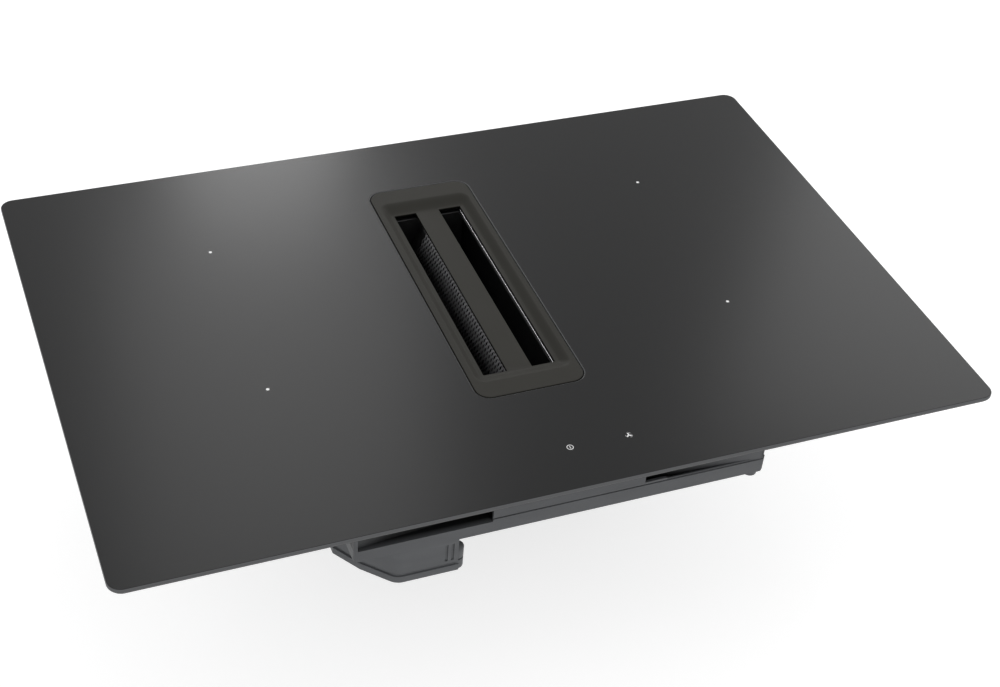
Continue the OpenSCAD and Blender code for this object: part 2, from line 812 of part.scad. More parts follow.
module base_pan() {
  band_z = tray_z - 4;
  catch_x = [pan_w / 2 - 117.5, pan_w / 2 - 96.5];
  groove = 1.2;
  duct_play = 1;
  color([0.4, 0.41, 0.42]) {
    difference() {
      union() {
        translate([0, pan_y, 0]) plate(pan_w, pan_l, 6, pan_z, tray_z - seat);
        translate([0, 0, pan_z]) linear_extrude(beam_top - pan_z) beam2d();
        // screw boss at the end of the beam
        translate([end_screw[0], end_screw[1], pan_z - end_boss])
          cylinder(r = boss_r, h = end_boss);
      }
      // inside of the pan and of the beam
      difference() {
        union() {
          translate([0, pan_y, 0])
            plate(pan_w - 2 * wall, pan_l - 2 * wall, 4, pan_z + wall, tray_z);
          block([-pan_w / 2 + wall, pan_front + wall, pan_z + wall],
                [pan_w / 2 - wall - end_step, touch_back - wall, beam_top + eps]);
        }
        // wall behind the sunk band
        translate([0, 0, band_z - wall]) linear_extrude(beam_top - band_z + wall)
          band2d(-pan_w / 2, pan_front, wall);
      }
      translate([0, 0, band_z]) linear_extrude(beam_top + 1 - band_z)
        band2d(band_x0, pan_front - eps, 0);
      // at its right end the beam's strip stands back, and its lower edge is bevelled
      block([pan_w / 2 - end_step, pan_front - eps, tray_z],
            [pan_w / 2 + 1, touch_back + eps, beam_top + 1]);
      translate([pan_w / 2, touch_back + eps, pan_z]) rotate([90, 0, 0])
        linear_extrude(touch_d + 2 * eps)
          polygon([[-end_bevel - eps, -eps], [eps, -eps], [eps, end_bevel + eps]]);
      block([notch_x0, pan_front - eps, tray_z], [band_x1, touch_back - 2 * wall, beam_top + 1]);
      block([catch_x[0], pan_front - eps, tray_z + 2], [catch_x[1], pan_front + 6, beam_top - 1]);
      // groove between the upper strip and the lower face of the beam
      block([band_x1, pan_front - eps, tray_z - 1.6], [pan_w / 2 + 1, pan_front + groove, tray_z]);
      // opening for the duct, and the way for the wires from the connection box
      translate([0, inlet_y, 0])
        plate(tube_w + duct_play, tube_l + duct_play, 10, pan_z - 1, tray_z);
      translate([gland_x + 30, terminal_y + 28, pan_z - 1]) cylinder(r = 5, h = wall + 2);
      for (p = pan_bosses) translate([p[0], p[1], pan_z - 1])
        cylinder(r = screw_r + run, h = pan_h);
      translate([end_screw[0], end_screw[1], pan_z - end_boss - eps])
        cylinder(r = screw_r + run, h = end_boss + wall);
      box_fixings(pan_z - eps, wall - 0.5);
      flange_fixings(pan_z - eps, wall - 0.5);
    }
    for (p = pan_bosses) translate([p[0], p[1], pan_z + wall - eps]) difference() {
      cylinder(r = boss_r, h = tray_z - seat - pan_z - wall + eps);
      translate([0, 0, -1]) cylinder(r = screw_r + run, h = pan_h + 1);
    }
  }
}

// Blind or through holes for the screws that hold the connection box to the pan
module box_fixings(z, h) {
  for (y = [box_y1 - 14, box_y1 - 52]) translate([box_x1 - wall - 6, y, z])
    cylinder(r = screw_r + run, h = h);
}

// The same for the screws in the flange of the suction chamber
module flange_fixings(z, h) {
  for (p = flange_screws) translate([p[0], p[1], z]) cylinder(r = screw_r + run, h = h);
}

// The box for the mains wires hangs under the left end of the pan
module connection_box() {
  color([0.4, 0.41, 0.42]) difference() {
    union() {
      translate([0, 0, lid_z]) linear_extrude(pan_z - lid_z) box2d(0);
      // screw boss, lower than the box, with a domed top
      translate([box_screw[0], box_screw[1], lid_z]) intersection() {
        cylinder(r = boss_r, h = box_boss);
        translate([0, 0, box_boss - 1.25 * boss_r]) sphere(1.25 * boss_r);
      }
    }
    // two upright recesses beside the boss
    for (x = [-12, -6.5])
      translate([box_x1 + x, pan_front - eps, lid_z + 3]) cube([2.5, 1.2 + eps, box_boss + 4]);
    translate([0, 0, lid_z - eps]) linear_extrude(pan_z - wall - lid_z + eps) box2d(wall);
    translate([gland_x + 30, terminal_y + 28, pan_z - wall - 1]) cylinder(r = 5, h = wall + 2);
    translate([gland_x, box_y1 + 1, gland_z]) rotate([90, 0, 0])
      cylinder(r = gland_r + run, h = wall + 2);
    translate([box_screw[0], box_screw[1], lid_z - eps])
      cylinder(r = screw_r + run, h = box_boss - 2);
    box_fixings(pan_z - wall - eps, wall + 2 * eps);
  }
}

module connection_lid() {
  color([0.36, 0.37, 0.38]) difference() {
    union() {
      translate([0, 0, box_z]) linear_extrude(lid_h) box2d(lid_reveal);
      translate([0, 0, box_z]) linear_extrude(lid_h - lid_gap) box2d(-lid_proud);
      translate([box_screw[0], box_screw[1], box_z]) cylinder(r = boss_r, h = lid_h);
    }
    translate([0, 0, box_z + wall]) linear_extrude(lid_h) box2d(wall + boss_r);
    translate([box_screw[0], box_screw[1], box_z - eps])
      cylinder(r = screw_r + run, h = lid_h + 1);
  }
}

// It hangs from the roof of the connection box, with its screws facing down
module terminal_block() {
  poles = 6;
  pitch = 9;
  height = 18;
  color([0.9, 0.9, 0.88])
    translate([terminal_x, terminal_y, pan_z - wall - height]) difference() {
    cube([poles * pitch, 20, height]);
    for (i = [0:poles - 1]) translate([(i + 0.5) * pitch, 0, 0]) {
      translate([0, 6, -1]) cylinder(r = 2.4, h = 11);
      translate([0, 21, 7]) rotate([90, 0, 0]) cylinder(r = 2.6, h = 12);
    }
  }
}

module cable_gland() {
  color([0.1, 0.1, 0.1]) translate([gland_x, box_y1, gland_z]) rotate([-90, 0, 0]) difference() {
    union() {
      translate([0, 0, -wall - 5]) cylinder(r = gland_r, h = wall + 6);
      cylinder(r = gland_nut, h = 6, $fn = 6);
      translate([0, 0, 6]) cylinder(r = gland_nut - 1.5, h = gland_len - 6);
      translate([0, 0, -wall - 4]) cylinder(r = gland_nut, h = 4, $fn = 6);
    }
    translate([0, 0, -wall - 6]) cylinder(r = gland_bore, h = wall + gland_len + 7);
  }
}

module control_board() {
  w = 72;
  d = 70;
  foot = 3;
  color([0.1, 0.35, 0.2])
    translate([pan_w / 2 - 12 - w, touch_back + 7, pan_z + wall + foot]) {
      cube([w, d, board_t]);
      for (x = [6, w - 6], y = [6, d - 6]) translate([x, y, -foot]) cylinder(r = 2.5, h = foot);
      // processor and buzzer
      translate([12, 12, board_t]) cube([24, 20, 6]);
      translate([w - 18, d - 24, board_t]) cylinder(r = 6, h = 6.5);
    }
}

// Suction chamber and volute

module chamber2d(g) {
  translate([0, (chamber_y0 + chamber_y1) / 2])
    rounded(chamber_w - 2 * g, chamber_y1 - chamber_y0 - 2 * g, 16 - g);
}

// Plan of the volute: the radius grows steadily from the tongue to the outlet
module volute2d(g) {
  step = 5;
  r0 = volute_r + g;
  translate([0, fan_y]) {
    polygon(concat([[0, 0]], [for (i = [0:turn / step])
      let (phi = step * i, r = r0 + volute_grow * phi / turn, a = tongue_a - phi)
      [r * cos(a), r * sin(a)]]));
    circle(r0);
    translate([-volute_end - g, 0]) square([volute_end + tongue_x + 2 * g, outlet_y - fan_y]);
  }
}

function ear_at(phi) =
  let (r = volute_r + volute_grow * phi / turn + wall + ear_r - 1, a = tongue_a - phi)
  [r * cos(a), fan_y + r * sin(a)];

module ears(z, h) {
  for (phi = ear_angles) translate([ear_at(phi)[0], ear_at(phi)[1], z]) cylinder(r = ear_r, h = h);
}

module ear_holes(z, h) {
  for (phi = ear_angles)
    translate([ear_at(phi)[0], ear_at(phi)[1], z]) cylinder(r = screw_r + run, h = h);
}

// An open tub whose flange closes against the floor of the pan
module chamber_shell() {
  color([0.3, 0.31, 0.32]) difference() {
    union() {
      translate([0, 0, chamber_z]) linear_extrude(pan_z - chamber_z) chamber2d(0);
      translate([0, 0, pan_z - wall]) linear_extrude(wall) chamber2d(-chamber_flange);
      translate([0, 0, chamber_z]) linear_extrude(wall) volute2d(wall + 2);
      ears(chamber_z, wall + 3);
    }
    translate([0, 0, chamber_z + wall]) linear_extrude(pan_z - chamber_z) chamber2d(wall);
    translate([0, fan_y, chamber_z - eps])
      cylinder(r = throat_r + lip_r + 0.5, h = wall + 2 * eps);
    ear_holes(chamber_z - eps, wall + 3 + 2 * eps);
    flange_fixings(pan_z - wall - eps, wall + 2 * eps);
  }
}

// Bell mouth that leads the air into the wheel
module inlet_ring() {
  t = 2;
  lip_z = chamber_z + wall + t - lip_r;
  color([0.2, 0.2, 0.21]) translate([0, fan_y, 0]) rotate_extrude($fn = 96) {
    intersection() {
      difference() {
        translate([throat_r + lip_r, lip_z]) circle(lip_r);
        translate([throat_r + lip_r, lip_z]) circle(lip_r - t);
      }
      translate([throat_r, lip_z]) square([lip_r, lip_r]);
    }
    translate([throat_r, wheel_z + wheel_h - 3]) square([t, lip_z - wheel_z - wheel_h + 3]);
    translate([throat_r + lip_r, chamber_z + wall]) square([8, t]);
  }
}

module volute_shell() {
  color([0.3, 0.31, 0.32]) difference() {
    union() {
      translate([0, 0, volute_z]) linear_extrude(volute_h) volute2d(wall);
      translate([0, 0, chamber_z - 4]) linear_extrude(4) volute2d(wall + 2);
      ears(chamber_z - 12, 12);
    }
    translate([0, 0, volute_z + wall]) linear_extrude(volute_h) volute2d(0);
    ear_holes(chamber_z - 12 - eps, 12 + 2 * eps);
    translate([0, fan_y, 0]) for (a = motor_angles) rotate([0, 0, a])
      translate([motor_r + 8, 0, volute_z - eps]) cylinder(r = screw_r + run, h = wall + 2 * eps);
  }
}

// Fan wheel with forward curved blades: it turns clockwise, seen from above

module wheel_blade() {
  n = 6;
  r1 = wheel_in + 0.4;
  r2 = wheel_r - 0.6;
  sweep = 13;
  thick = 1.4;
  function at(k, side) =
    let (u = k / n, r = r1 + (r2 - r1) * u,
         a = -sweep * pow(u, 1.7) + side * thick / 2 / r * 180 / PI)
    [r * cos(a), r * sin(a)];
  polygon(concat([for (k = [0:n]) at(k, 1)], [for (k = [n:-1:0]) at(k, -1)]));
}

module fan_wheel() {
  hub_top = motor_z + motor_h + 4;
  color([0.18, 0.18, 0.2]) translate([0, fan_y, 0]) difference() {
    union() {
      translate([0, 0, wheel_z]) cylinder(r = wheel_r, h = 2, $fn = 96);
      translate([0, 0, wheel_z]) cylinder(r = hub_r, h = hub_top + 2 - wheel_z);
      translate([0, 0, hub_top - 6]) cylinder(r = 9, h = 14);
      translate([0, 0, wheel_z + 1]) linear_extrude(wheel_h - 2)
        for (i = [0:wheel_blades - 1]) rotate(i * 360 / wheel_blades) wheel_blade();
      translate([0, 0, wheel_z + wheel_h - 2]) difference() {
        cylinder(r = wheel_r, h = 2, $fn = 96);
        translate([0, 0, -eps]) cylinder(r = wheel_in, h = 3, $fn = 96);
      }
    }
    difference() {
      translate([0, 0, wheel_z - eps]) cylinder(r = hub_r - 2, h = hub_top - wheel_z + eps);
      translate([0, 0, hub_top - 3.5]) cylinder(r = 9, h = 4);
    }
    translate([0, 0, hub_top - 8]) cylinder(r = shaft_r, h = 20);
  }
}

module fan_shaft() {
  color([0.8, 0.8, 0.82]) translate([0, fan_y, motor_z + 6])
    cylinder(r = shaft_r, h = motor_h + 6);
}

module fan_motor() {
  color([0.5, 0.51, 0.53]) translate([0, fan_y, motor_z]) difference() {
    union() {
      cylinder(r = motor_r, h = motor_h - 2);
      translate([0, 0, motor_h - 2]) cylinder(r = motor_r - 3, h = 2);
      for (a = motor_angles) rotate([0, 0, a]) {
        block([motor_r - 4, -7, 0], [motor_r + 8, 7, motor_ear]);
        translate([motor_r + 8, 0, 0]) cylinder(r = 7, h = motor_ear);
      }
    }
    translate([0, 0, 6 - seat]) cylinder(r = shaft_r + run, h = motor_h);
    for (a = motor_angles) rotate([0, 0, a])
      translate([motor_r + 8, 0, -eps]) cylinder(r = screw_r + run, h = motor_ear + 2 * eps);
  }
}

module motor_bushes() {
  color([0.1, 0.1, 0.1]) translate([0, fan_y, volute_z + wall])
    for (a = motor_angles) rotate([0, 0, a]) translate([motor_r + 8, 0, 0]) difference() {
      cylinder(r = 7, h = bush_h);
      translate([0, 0, -eps]) cylinder(r = screw_r + run, h = bush_h + 2 * eps);
    }
}

// Outlet: from the volute to a flat duct, closed by two flaps that hang shut

// One cross-section of the diffuser at y, of the inside for g = 0. The share u runs
// from 0 at the volute to 1 at the spigot, and the top is given for itself.
module diffuser_section(y, u, top, g) {
  x0 = -volute_end + u * (duct_x - duct_in_w / 2 + volute_end);
  x1 = tongue_x + u * (duct_x + duct_in_w / 2 - tongue_x);
  z0 = volute_z + wall + u * (duct_z - duct_in_h / 2 - volute_z - wall);
  block([x0 - g, y, z0 - g], [x1 + g, y + eps, top + g]);
}

// Under the chamber the diffuser only widens; behind it the top rises to the duct
module diffuser_body(g, over) {
  low = chamber_z - seat - wall;
  bend = (chamber_y1 + 1 - outlet_y) / (spigot_y0 - outlet_y);
  hull() {
    diffuser_section(outlet_y - over, 0, low, g);
    diffuser_section(chamber_y1 + 1 - eps, bend, low, g);
  }
  hull() {
    diffuser_section(chamber_y1 + 1 - eps, bend, low, g);
    diffuser_section(spigot_y0 - eps + over, 1, duct_z + duct_in_h / 2, g);
  }
}

module outlet_diffuser() {
  color([0.3, 0.31, 0.32]) difference() {
    diffuser_body(wall, 0);
    diffuser_body(0, eps);
  }
}

module along_y(y0, y1) {
  translate([duct_x, y1, duct_z]) rotate([90, 0, 0]) linear_extrude(y1 - y0) children();
}

module outlet_spigot() {
  color([0.2, 0.2, 0.21]) difference() {
    union() {
      along_y(spigot_y0, spigot_y1) rounded(duct_w, duct_h, 6);
      along_y(spigot_y0, spigot_y0 + 2.5) rounded(duct_w + 4, duct_h + 4, 8);
      along_y(spigot_y1 - 12, spigot_y1 - 9) rounded(duct_w + 2, duct_h + 2, 7);
    }
    along_y(spigot_y0 - eps, spigot_y1 + eps) rounded(duct_in_w, duct_in_h, 4);
    for (z = flap_z) translate([duct_x, flap_y, z]) rotate([0, 90, 0])
      cylinder(r = pin_r + run, h = duct_w + 10, center = true);
  }
}

module flap(z) {
  w = duct_in_w - 4;
  color([0.75, 0.76, 0.77]) translate([duct_x - w / 2, flap_y, z]) difference() {
    union() {
      rotate([0, 90, 0]) cylinder(r = knuckle_r, h = w);
      block([0, -flap_t / 2, -flap_h + knuckle_r + 1], [w, flap_t / 2, 0]);
    }
    translate([-1, 0, 0]) rotate([0, 90, 0]) cylinder(r = pin_r + run, h = w + 2);
  }
}

module flap_upper() {
  flap(flap_z[0]);
}

module flap_lower() {
  flap(flap_z[1]);
}

module flap_pins() {
  color([0.8, 0.8, 0.82])
    for (z = flap_z) translate([duct_x, flap_y, z]) rotate([0, 90, 0])
      cylinder(r = pin_r, h = duct_w, center = true);
}

// Leaf springs that centre the cooktop in its cut-out, and the screws

module worktop_springs() {
  x = tray_w / 2;
  reach = cutout_w / 2 + 1.6 - x;
  t = 0.8;
  color([0.8, 0.8, 0.82])
    for (s = [0, 1], y = spring_y) mirror([s, 0, 0]) translate([x, y + 12, 0]) difference() {
      rotate([90, 0, 0]) linear_extrude(24)
        polygon([
          [0, -26], [0, -5], [1.5, -5], [reach, -18], [reach - 3, -27], [reach - 3.8, -26.6],
          [reach - 1, -18.1], [1, -7], [t, -8], [t, -26]]);
      translate([-1, -12, spring_z]) rotate([0, 90, 0]) cylinder(r = screw_r + run, h = 3);
      translate([2.6, -12, spring_z]) rotate([0, 90, 0]) cylinder(r = head_r + 0.6, h = 8);
    }
}

// A pan head screw: its head stands on z = 0 and the shank goes down
module screw(len) {
  cylinder(r = head_r, h = head_t);
  translate([0, 0, -len]) cylinder(r = screw_r, h = len);
}

module spring_screws() {
  color([0.85, 0.85, 0.86])
    for (s = [0, 1], y = spring_y) mirror([s, 0, 0])
      translate([tray_w / 2 + 0.8, y, spring_z]) rotate([0, 90, 0]) screw(4);
}

module housing_screws() {
  color([0.85, 0.85, 0.86]) {
    for (phi = ear_angles)
      translate([ear_at(phi)[0], ear_at(phi)[1], chamber_z - 12]) mirror([0, 0, 1]) screw(16);
    translate([0, fan_y, 0]) for (a = motor_angles) rotate([0, 0, a])
      translate([motor_r + 8, 0, motor_z + motor_ear]) screw(motor_ear + bush_h + wall - 0.5);
  }
}

module pan_screws() {
  color([0.85, 0.85, 0.86]) {
    for (p = pan_bosses)
      translate([p[0], p[1], pan_z]) mirror([0, 0, 1]) screw(pan_h + 2);
    translate([box_screw[0], box_screw[1], box_z]) mirror([0, 0, 1]) screw(lid_h + 6);
    for (y = [box_y1 - 14, box_y1 - 52])
      translate([box_x1 - wall - 6, y, pan_z - wall]) mirror([0, 0, 1]) screw(2 * wall - 1);
    for (p = flange_screws)
      translate([p[0], p[1], pan_z - wall]) mirror([0, 0, 1]) screw(2 * wall - 1);
    translate([end_screw[0], end_screw[1], pan_z - end_boss]) mirror([0, 0, 1])
      screw(end_boss + 1);
  }
}

glass_top();
worktop_seal();
inlet_frame();
inlet_grille();
filter_frame();
filter_mesh_left();
filter_mesh_right();
filter_grip();
drip_tray();
inlet_duct();
coil_tray();
insulation_left();
insulation_right();
coil_shelf_left();
coil_shelf_right();
coil_front_left();
coil_front_right();
coil_rear_left();
coil_rear_right();
carrier_front_left();
carrier_front_right();
carrier_rear_left();
carrier_rear_right();
ferrite_bars();
coil_sensors();
shelf_posts();
power_board_left();
power_board_right();
heat_sink_left();
heat_sink_right();
capacitors();
cooling_fan_left();
cooling_fan_right();
cooling_rotor_left();
cooling_rotor_right();
touch_housing();
touch_board();
touch_pads();
base_pan();
connection_box();
connection_lid();
terminal_block();
cable_gland();
control_board();
chamber_shell();
inlet_ring();
volute_shell();
fan_wheel();
fan_shaft();
fan_motor();
motor_bushes();
outlet_diffuser();
outlet_spigot();
flap_upper();
flap_lower();
flap_pins();
worktop_springs();
spring_screws();
housing_screws();
pan_screws();
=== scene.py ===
# %% [markdown]
# Downdraft induction cooktop
#
# This notebook dresses a cooktop that was designed in a CAD program. The CAD model
# brings every part at its real size; here each part gets its finish, and the parts
# whose shape catches the light are modelled again with more detail. All lengths are
# metres, X runs to the right, Y to the back and Z up, and the origin is the centre
# of the worktop plane.

# %% Load the model
import json
import math

import bmesh
import bpy
import numpy as np
from mathutils import Matrix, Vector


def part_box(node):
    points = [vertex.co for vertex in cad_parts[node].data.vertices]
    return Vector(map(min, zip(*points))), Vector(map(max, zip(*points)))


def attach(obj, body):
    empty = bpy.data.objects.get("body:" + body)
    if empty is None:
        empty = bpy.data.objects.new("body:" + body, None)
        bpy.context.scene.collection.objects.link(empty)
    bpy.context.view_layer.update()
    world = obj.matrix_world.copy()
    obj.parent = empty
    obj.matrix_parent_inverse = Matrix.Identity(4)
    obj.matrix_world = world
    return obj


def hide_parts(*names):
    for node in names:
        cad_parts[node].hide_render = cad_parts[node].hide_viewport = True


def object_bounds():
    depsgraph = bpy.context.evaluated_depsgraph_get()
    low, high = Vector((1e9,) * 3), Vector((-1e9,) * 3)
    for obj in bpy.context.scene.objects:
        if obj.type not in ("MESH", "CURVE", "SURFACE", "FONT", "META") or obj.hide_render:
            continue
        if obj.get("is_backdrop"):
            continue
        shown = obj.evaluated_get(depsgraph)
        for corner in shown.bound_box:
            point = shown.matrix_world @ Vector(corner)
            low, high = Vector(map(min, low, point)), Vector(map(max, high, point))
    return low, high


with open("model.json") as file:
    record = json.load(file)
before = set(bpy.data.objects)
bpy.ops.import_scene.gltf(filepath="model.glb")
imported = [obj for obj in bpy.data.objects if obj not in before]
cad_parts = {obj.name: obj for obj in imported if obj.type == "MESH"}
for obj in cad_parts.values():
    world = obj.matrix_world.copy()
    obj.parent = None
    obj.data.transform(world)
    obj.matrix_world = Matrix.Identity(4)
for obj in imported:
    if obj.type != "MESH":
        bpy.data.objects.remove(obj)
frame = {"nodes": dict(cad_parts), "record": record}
cad_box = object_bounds()
MM = 0.001

# %% [markdown]
# The camera
#
# A photograph of a flat rectangle of known size gives the camera that took it: the
# four edges of the glass fix the distance, the direction and the focal length. The
# camera stands in front and to the left, looks down at the glass, and is rolled a
# little, so that the left side of the object hangs lower in the picture.

# %% Camera
LENS, SENSOR = 62.76, 36.0
EYE = (-0.4980, -1.1563, 0.9837)
HEADING, TILT, ROLL = 24.33, 39.36, 5.19


def aim(heading, tilt, roll):
    """Columns right, up and back of a camera that looks along heading, tilted down."""
    h, t, r = (math.radians(a) for a in (heading, tilt, roll))
    forward = np.array([math.sin(h) * math.cos(t), math.cos(h) * math.cos(t), -math.sin(t)])
    level = np.array([math.cos(h), -math.sin(h), 0.0])
    upright = np.cross(level, forward)
    right = math.cos(r) * level + math.sin(r) * upright
    return np.stack([right, np.cross(right, forward), -forward], axis=1)


camera = bpy.data.objects.new("camera", bpy.data.cameras.new("camera"))
camera.data.lens = LENS
camera.data.sensor_width = SENSOR
camera.matrix_world = Matrix.Translation(EYE) @ Matrix(aim(HEADING, TILT, ROLL).tolist()).to_4x4()
bpy.context.scene.collection.objects.link(camera)
bpy.context.scene.camera = camera
bpy.context.scene.view_settings.view_transform = "Standard"
print("camera", [round(x, 3) for x in camera.location])

# %% [markdown]
# Shader maths
#
# A node tree is easier to read as a formula. Sock wraps one output socket, so that
# a * b + 0.2 adds the Math nodes by itself. Finish holds a material while it is
# built: node() adds any node, with its settings first and its sockets after.


# %% Sockets as numbers
class Sock:
    """One value socket of a node tree, with + - * / and comparisons that add Math nodes."""

    def __init__(self, finish, socket):
        self.finish, self.socket = finish, socket

    def _math(self, operation, *values):
        made = self.finish.node("ShaderNodeMath", {"operation": operation}, *values)
        return Sock(self.finish, made.outputs[0])

    def __add__(self, other):
        return self._math("ADD", self, other)

    def __sub__(self, other):
        return self._math("SUBTRACT", self, other)

    def __rsub__(self, other):
        return self._math("SUBTRACT", other, self)

    def __mul__(self, other):
        return self._math("MULTIPLY", self, other)

    def __truediv__(self, other):
        return self._math("DIVIDE", self, other)

    def __gt__(self, other):
        return self._math("GREATER_THAN", self, other)

    def __lt__(self, other):
        return self._math("LESS_THAN", self, other)

    def __pow__(self, other):
        return self._math("POWER", self, other)

    __radd__ = __add__
    __rmul__ = __mul__

    def of(self, operation, *values):
        """Any other Math operation, such as FRACT or ABSOLUTE."""
        return self._math(operation, self, *values)


# %% Finishes
MIX_FACTOR, MIX_FIRST, MIX_SECOND, MIX_COLOUR = 0, 6, 7, 2


class Finish:
    """A material while it is built. Lengths in its patterns are metres."""

    def __init__(self, name):
        self.material = bpy.data.materials.new(name)
        self.material.use_nodes = True
        self.tree = self.material.node_tree
        self.shader = self.tree.nodes["Principled BSDF"]
        self.here = self.node("ShaderNodeTexCoord").outputs["Object"]

    def node(self, kind, settings=None, *values, **sockets):
        """Adds a node: its settings, then its input sockets by place or by name."""
        made = self.tree.nodes.new(kind)
        for key, value in (settings or {}).items():
            setattr(made, key, value)
        pairs = list(enumerate(values)) + [(k.replace("_", " "), v) for k, v in sockets.items()]
        for key, value in pairs:
            self.plug(made.inputs[key], value)
        return made

    def plug(self, socket, value):
        """Sets a socket to a number or colour, or links it."""
        if isinstance(value, Sock):
            value = value.socket
        if isinstance(value, bpy.types.NodeSocket):
            self.tree.links.new(value, socket)
        else:
            socket.default_value = value

    def at(self, scale, turn=(0, 0, 0)):
        """Object coordinates, stretched and turned."""
        return self.node("ShaderNodeMapping", {"vector_type": "POINT"}, self.here,
                         Rotation=turn, Scale=scale).outputs[0]

    def axes(self, vector):
        """The three numbers of a vector."""
        split = self.node("ShaderNodeSeparateXYZ", None, vector)
        return [Sock(self, s) for s in split.outputs]

    def noise(self, size, detail=2.0, rough=0.5, at=None):
        """Noise from 0 to 1 whose blobs are about size across."""
        made = self.node("ShaderNodeTexNoise", None, at or self.here,
                         Scale=1 / size, Detail=detail, Roughness=rough)
        return Sock(self, made.outputs[0])

    def cells(self, size, output="Distance"):
        """Voronoi cells about size across: the distance to the middle, or a colour."""
        made = self.node("ShaderNodeTexVoronoi", {"feature": "F1"}, self.here, Scale=1 / size)
        return Sock(self, made.outputs[output])

    def ramp(self, value, low, high, to_low=0.0, to_high=1.0):
        """value taken from the range low..high to the range to_low..to_high."""
        made = self.node("ShaderNodeMapRange", None, value, low, high, to_low, to_high)
        return Sock(self, made.outputs[0])

    def mix(self, mask, first, second):
        """Colour first where mask is 0 and second where it is 1."""
        made = self.node("ShaderNodeMix", {"data_type": "RGBA"})
        for key, value in ((MIX_FACTOR, mask), (MIX_FIRST, first), (MIX_SECOND, second)):
            self.plug(made.inputs[key], value)
        return made.outputs[MIX_COLOUR]

    def bump(self, height, depth, normal=None):
        """A normal for a relief of the given depth in metres."""
        made = self.node("ShaderNodeBump", None, Strength=1.0, Distance=depth, Height=height)
        if normal is not None:
            self.plug(made.inputs["Normal"], normal)
        return made.outputs[0]

    def done(self, **sockets):
        """Plugs the shader's sockets and gives the material."""
        for key, value in sockets.items():
            self.plug(self.shader.inputs[key.replace("_", " ")], value)
        return self.material


def grey(v, tint=(1.0, 1.0, 1.0)):
    """A colour v bright with a slight tint."""
    return (v * tint[0], v * tint[1], v * tint[2], 1.0)


# %% [markdown]
# The black glass ceramic
#
# The glass is body-tinted almost black, with a fine grain in its surface that spreads
# what it reflects, so it shows soft grey gradients and no sharp mirror image. Where the
# plate is ground, at its rim and in its opening, it is matte and clearly lighter. A
# mask on the height tells the ground edge from the two flat faces.


# %% Glass finish
GLASS_TINT = (0.98, 1.0, 1.03)
UNDER_TOP = (0.02 * MM, 0.12 * MM)
OVER_BOTTOM = (0.05 * MM, 0.25 * MM)


def black_glass():
    """Satin black glass: grain of a third of a millimetre, and slow waves of the sheet.

    The ground edge fades in over UNDER_TOP and OVER_BOTTOM, measured from the two faces."""
    f = Finish("black_glass")
    low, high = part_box("glass_top")
    height = f.axes(f.here)[2]
    ground = (f.ramp(height, high.z - UNDER_TOP[0], high.z - UNDER_TOP[1])
              * f.ramp(height, low.z + OVER_BOTTOM[0], low.z + OVER_BOTTOM[1]))
    grain = f.noise(0.3 * MM, detail=3)
    waves = f.noise(90 * MM, detail=1)
    return f.done(
        Base_Color=f.mix(ground, grey(0.0115, GLASS_TINT), grey(0.125, GLASS_TINT)),
        Roughness=f.ramp(grain, 0.2, 0.8, 0.19, 0.24) + ground * 0.2,
        Specular_IOR_Level=0.15,
        Normal=f.bump(waves, 0.05 * MM, f.bump(grain, 0.004 * MM)))


# %% [markdown]
# Paint, plastics and rubber
#
# The grille is a casting with a matte warm grey powder coat: tiny orange-peel bumps.
# In the slots and on the underside the colour is painted almost black, as painted shade.
# The moulded parts under the worktop are glass-filled plastic, which comes out of the
# mould with a dull, slightly cloudy skin and a fine spark-eroded grain. The beam under
# the front edge has sunk bands, and painted shade darkens them the deeper they lie.


# %% Paint finish
PAINT = (0.0345, 0.0335, 0.0295)
SLOT_SHADE_Z = (0.5 * MM, 0.0)


def grille_paint():
    """Orange peel of half a millimetre, with a faint drift of the shade.

    Between the two heights of SLOT_SHADE_Z the colour fades to an eighth of its brightness:
    painted shade in the slots and on the underside."""
    f = Finish("grille_paint")
    # Painted shade: below the floor of the slots the colour turns almost black.
    painted_slot_shade = f.ramp(f.axes(f.here)[2], *SLOT_SHADE_Z)
    peel = f.noise(0.5 * MM, detail=3, rough=0.6)
    drift = f.noise(40 * MM)
    return f.done(
        Base_Color=f.mix(painted_slot_shade, f.mix(drift, grey(0.92, PAINT), grey(1.06, PAINT)),
                         grey(0.12, PAINT)),
        Roughness=f.ramp(peel, 0.3, 0.7, 0.44, 0.58),
        Specular_IOR_Level=0.06,
        Normal=f.bump(peel, 0.03 * MM))


# %% Plastic and rubber finishes
BEAM_DEPTH = 14 * MM
BEAM_UNDER_TRAY = 4.5 * MM
BAND_SHADE_DEPTHS = (1.0 * MM, 6.5 * MM)


def painted_band_shade(f):
    """Painted shade: 1 on the face of the beam, down to 0.05 at the bottom of its sunk bands.

    The beam is what lies within BEAM_DEPTH of the pan's front, above its lower strip."""
    front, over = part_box("base_pan")[0].y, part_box("coil_tray")[0].z - BEAM_UNDER_TRAY
    y, z = f.axes(f.here)[1:]
    # Painted shade in the sunk bands: darker the deeper they lie behind the beam's front.
    deep = f.ramp(y, front + BAND_SHADE_DEPTHS[0], front + BAND_SHADE_DEPTHS[1])
    in_beam = (z > over) * (y < front + BEAM_DEPTH)
    return 1 - deep * in_beam * 0.95


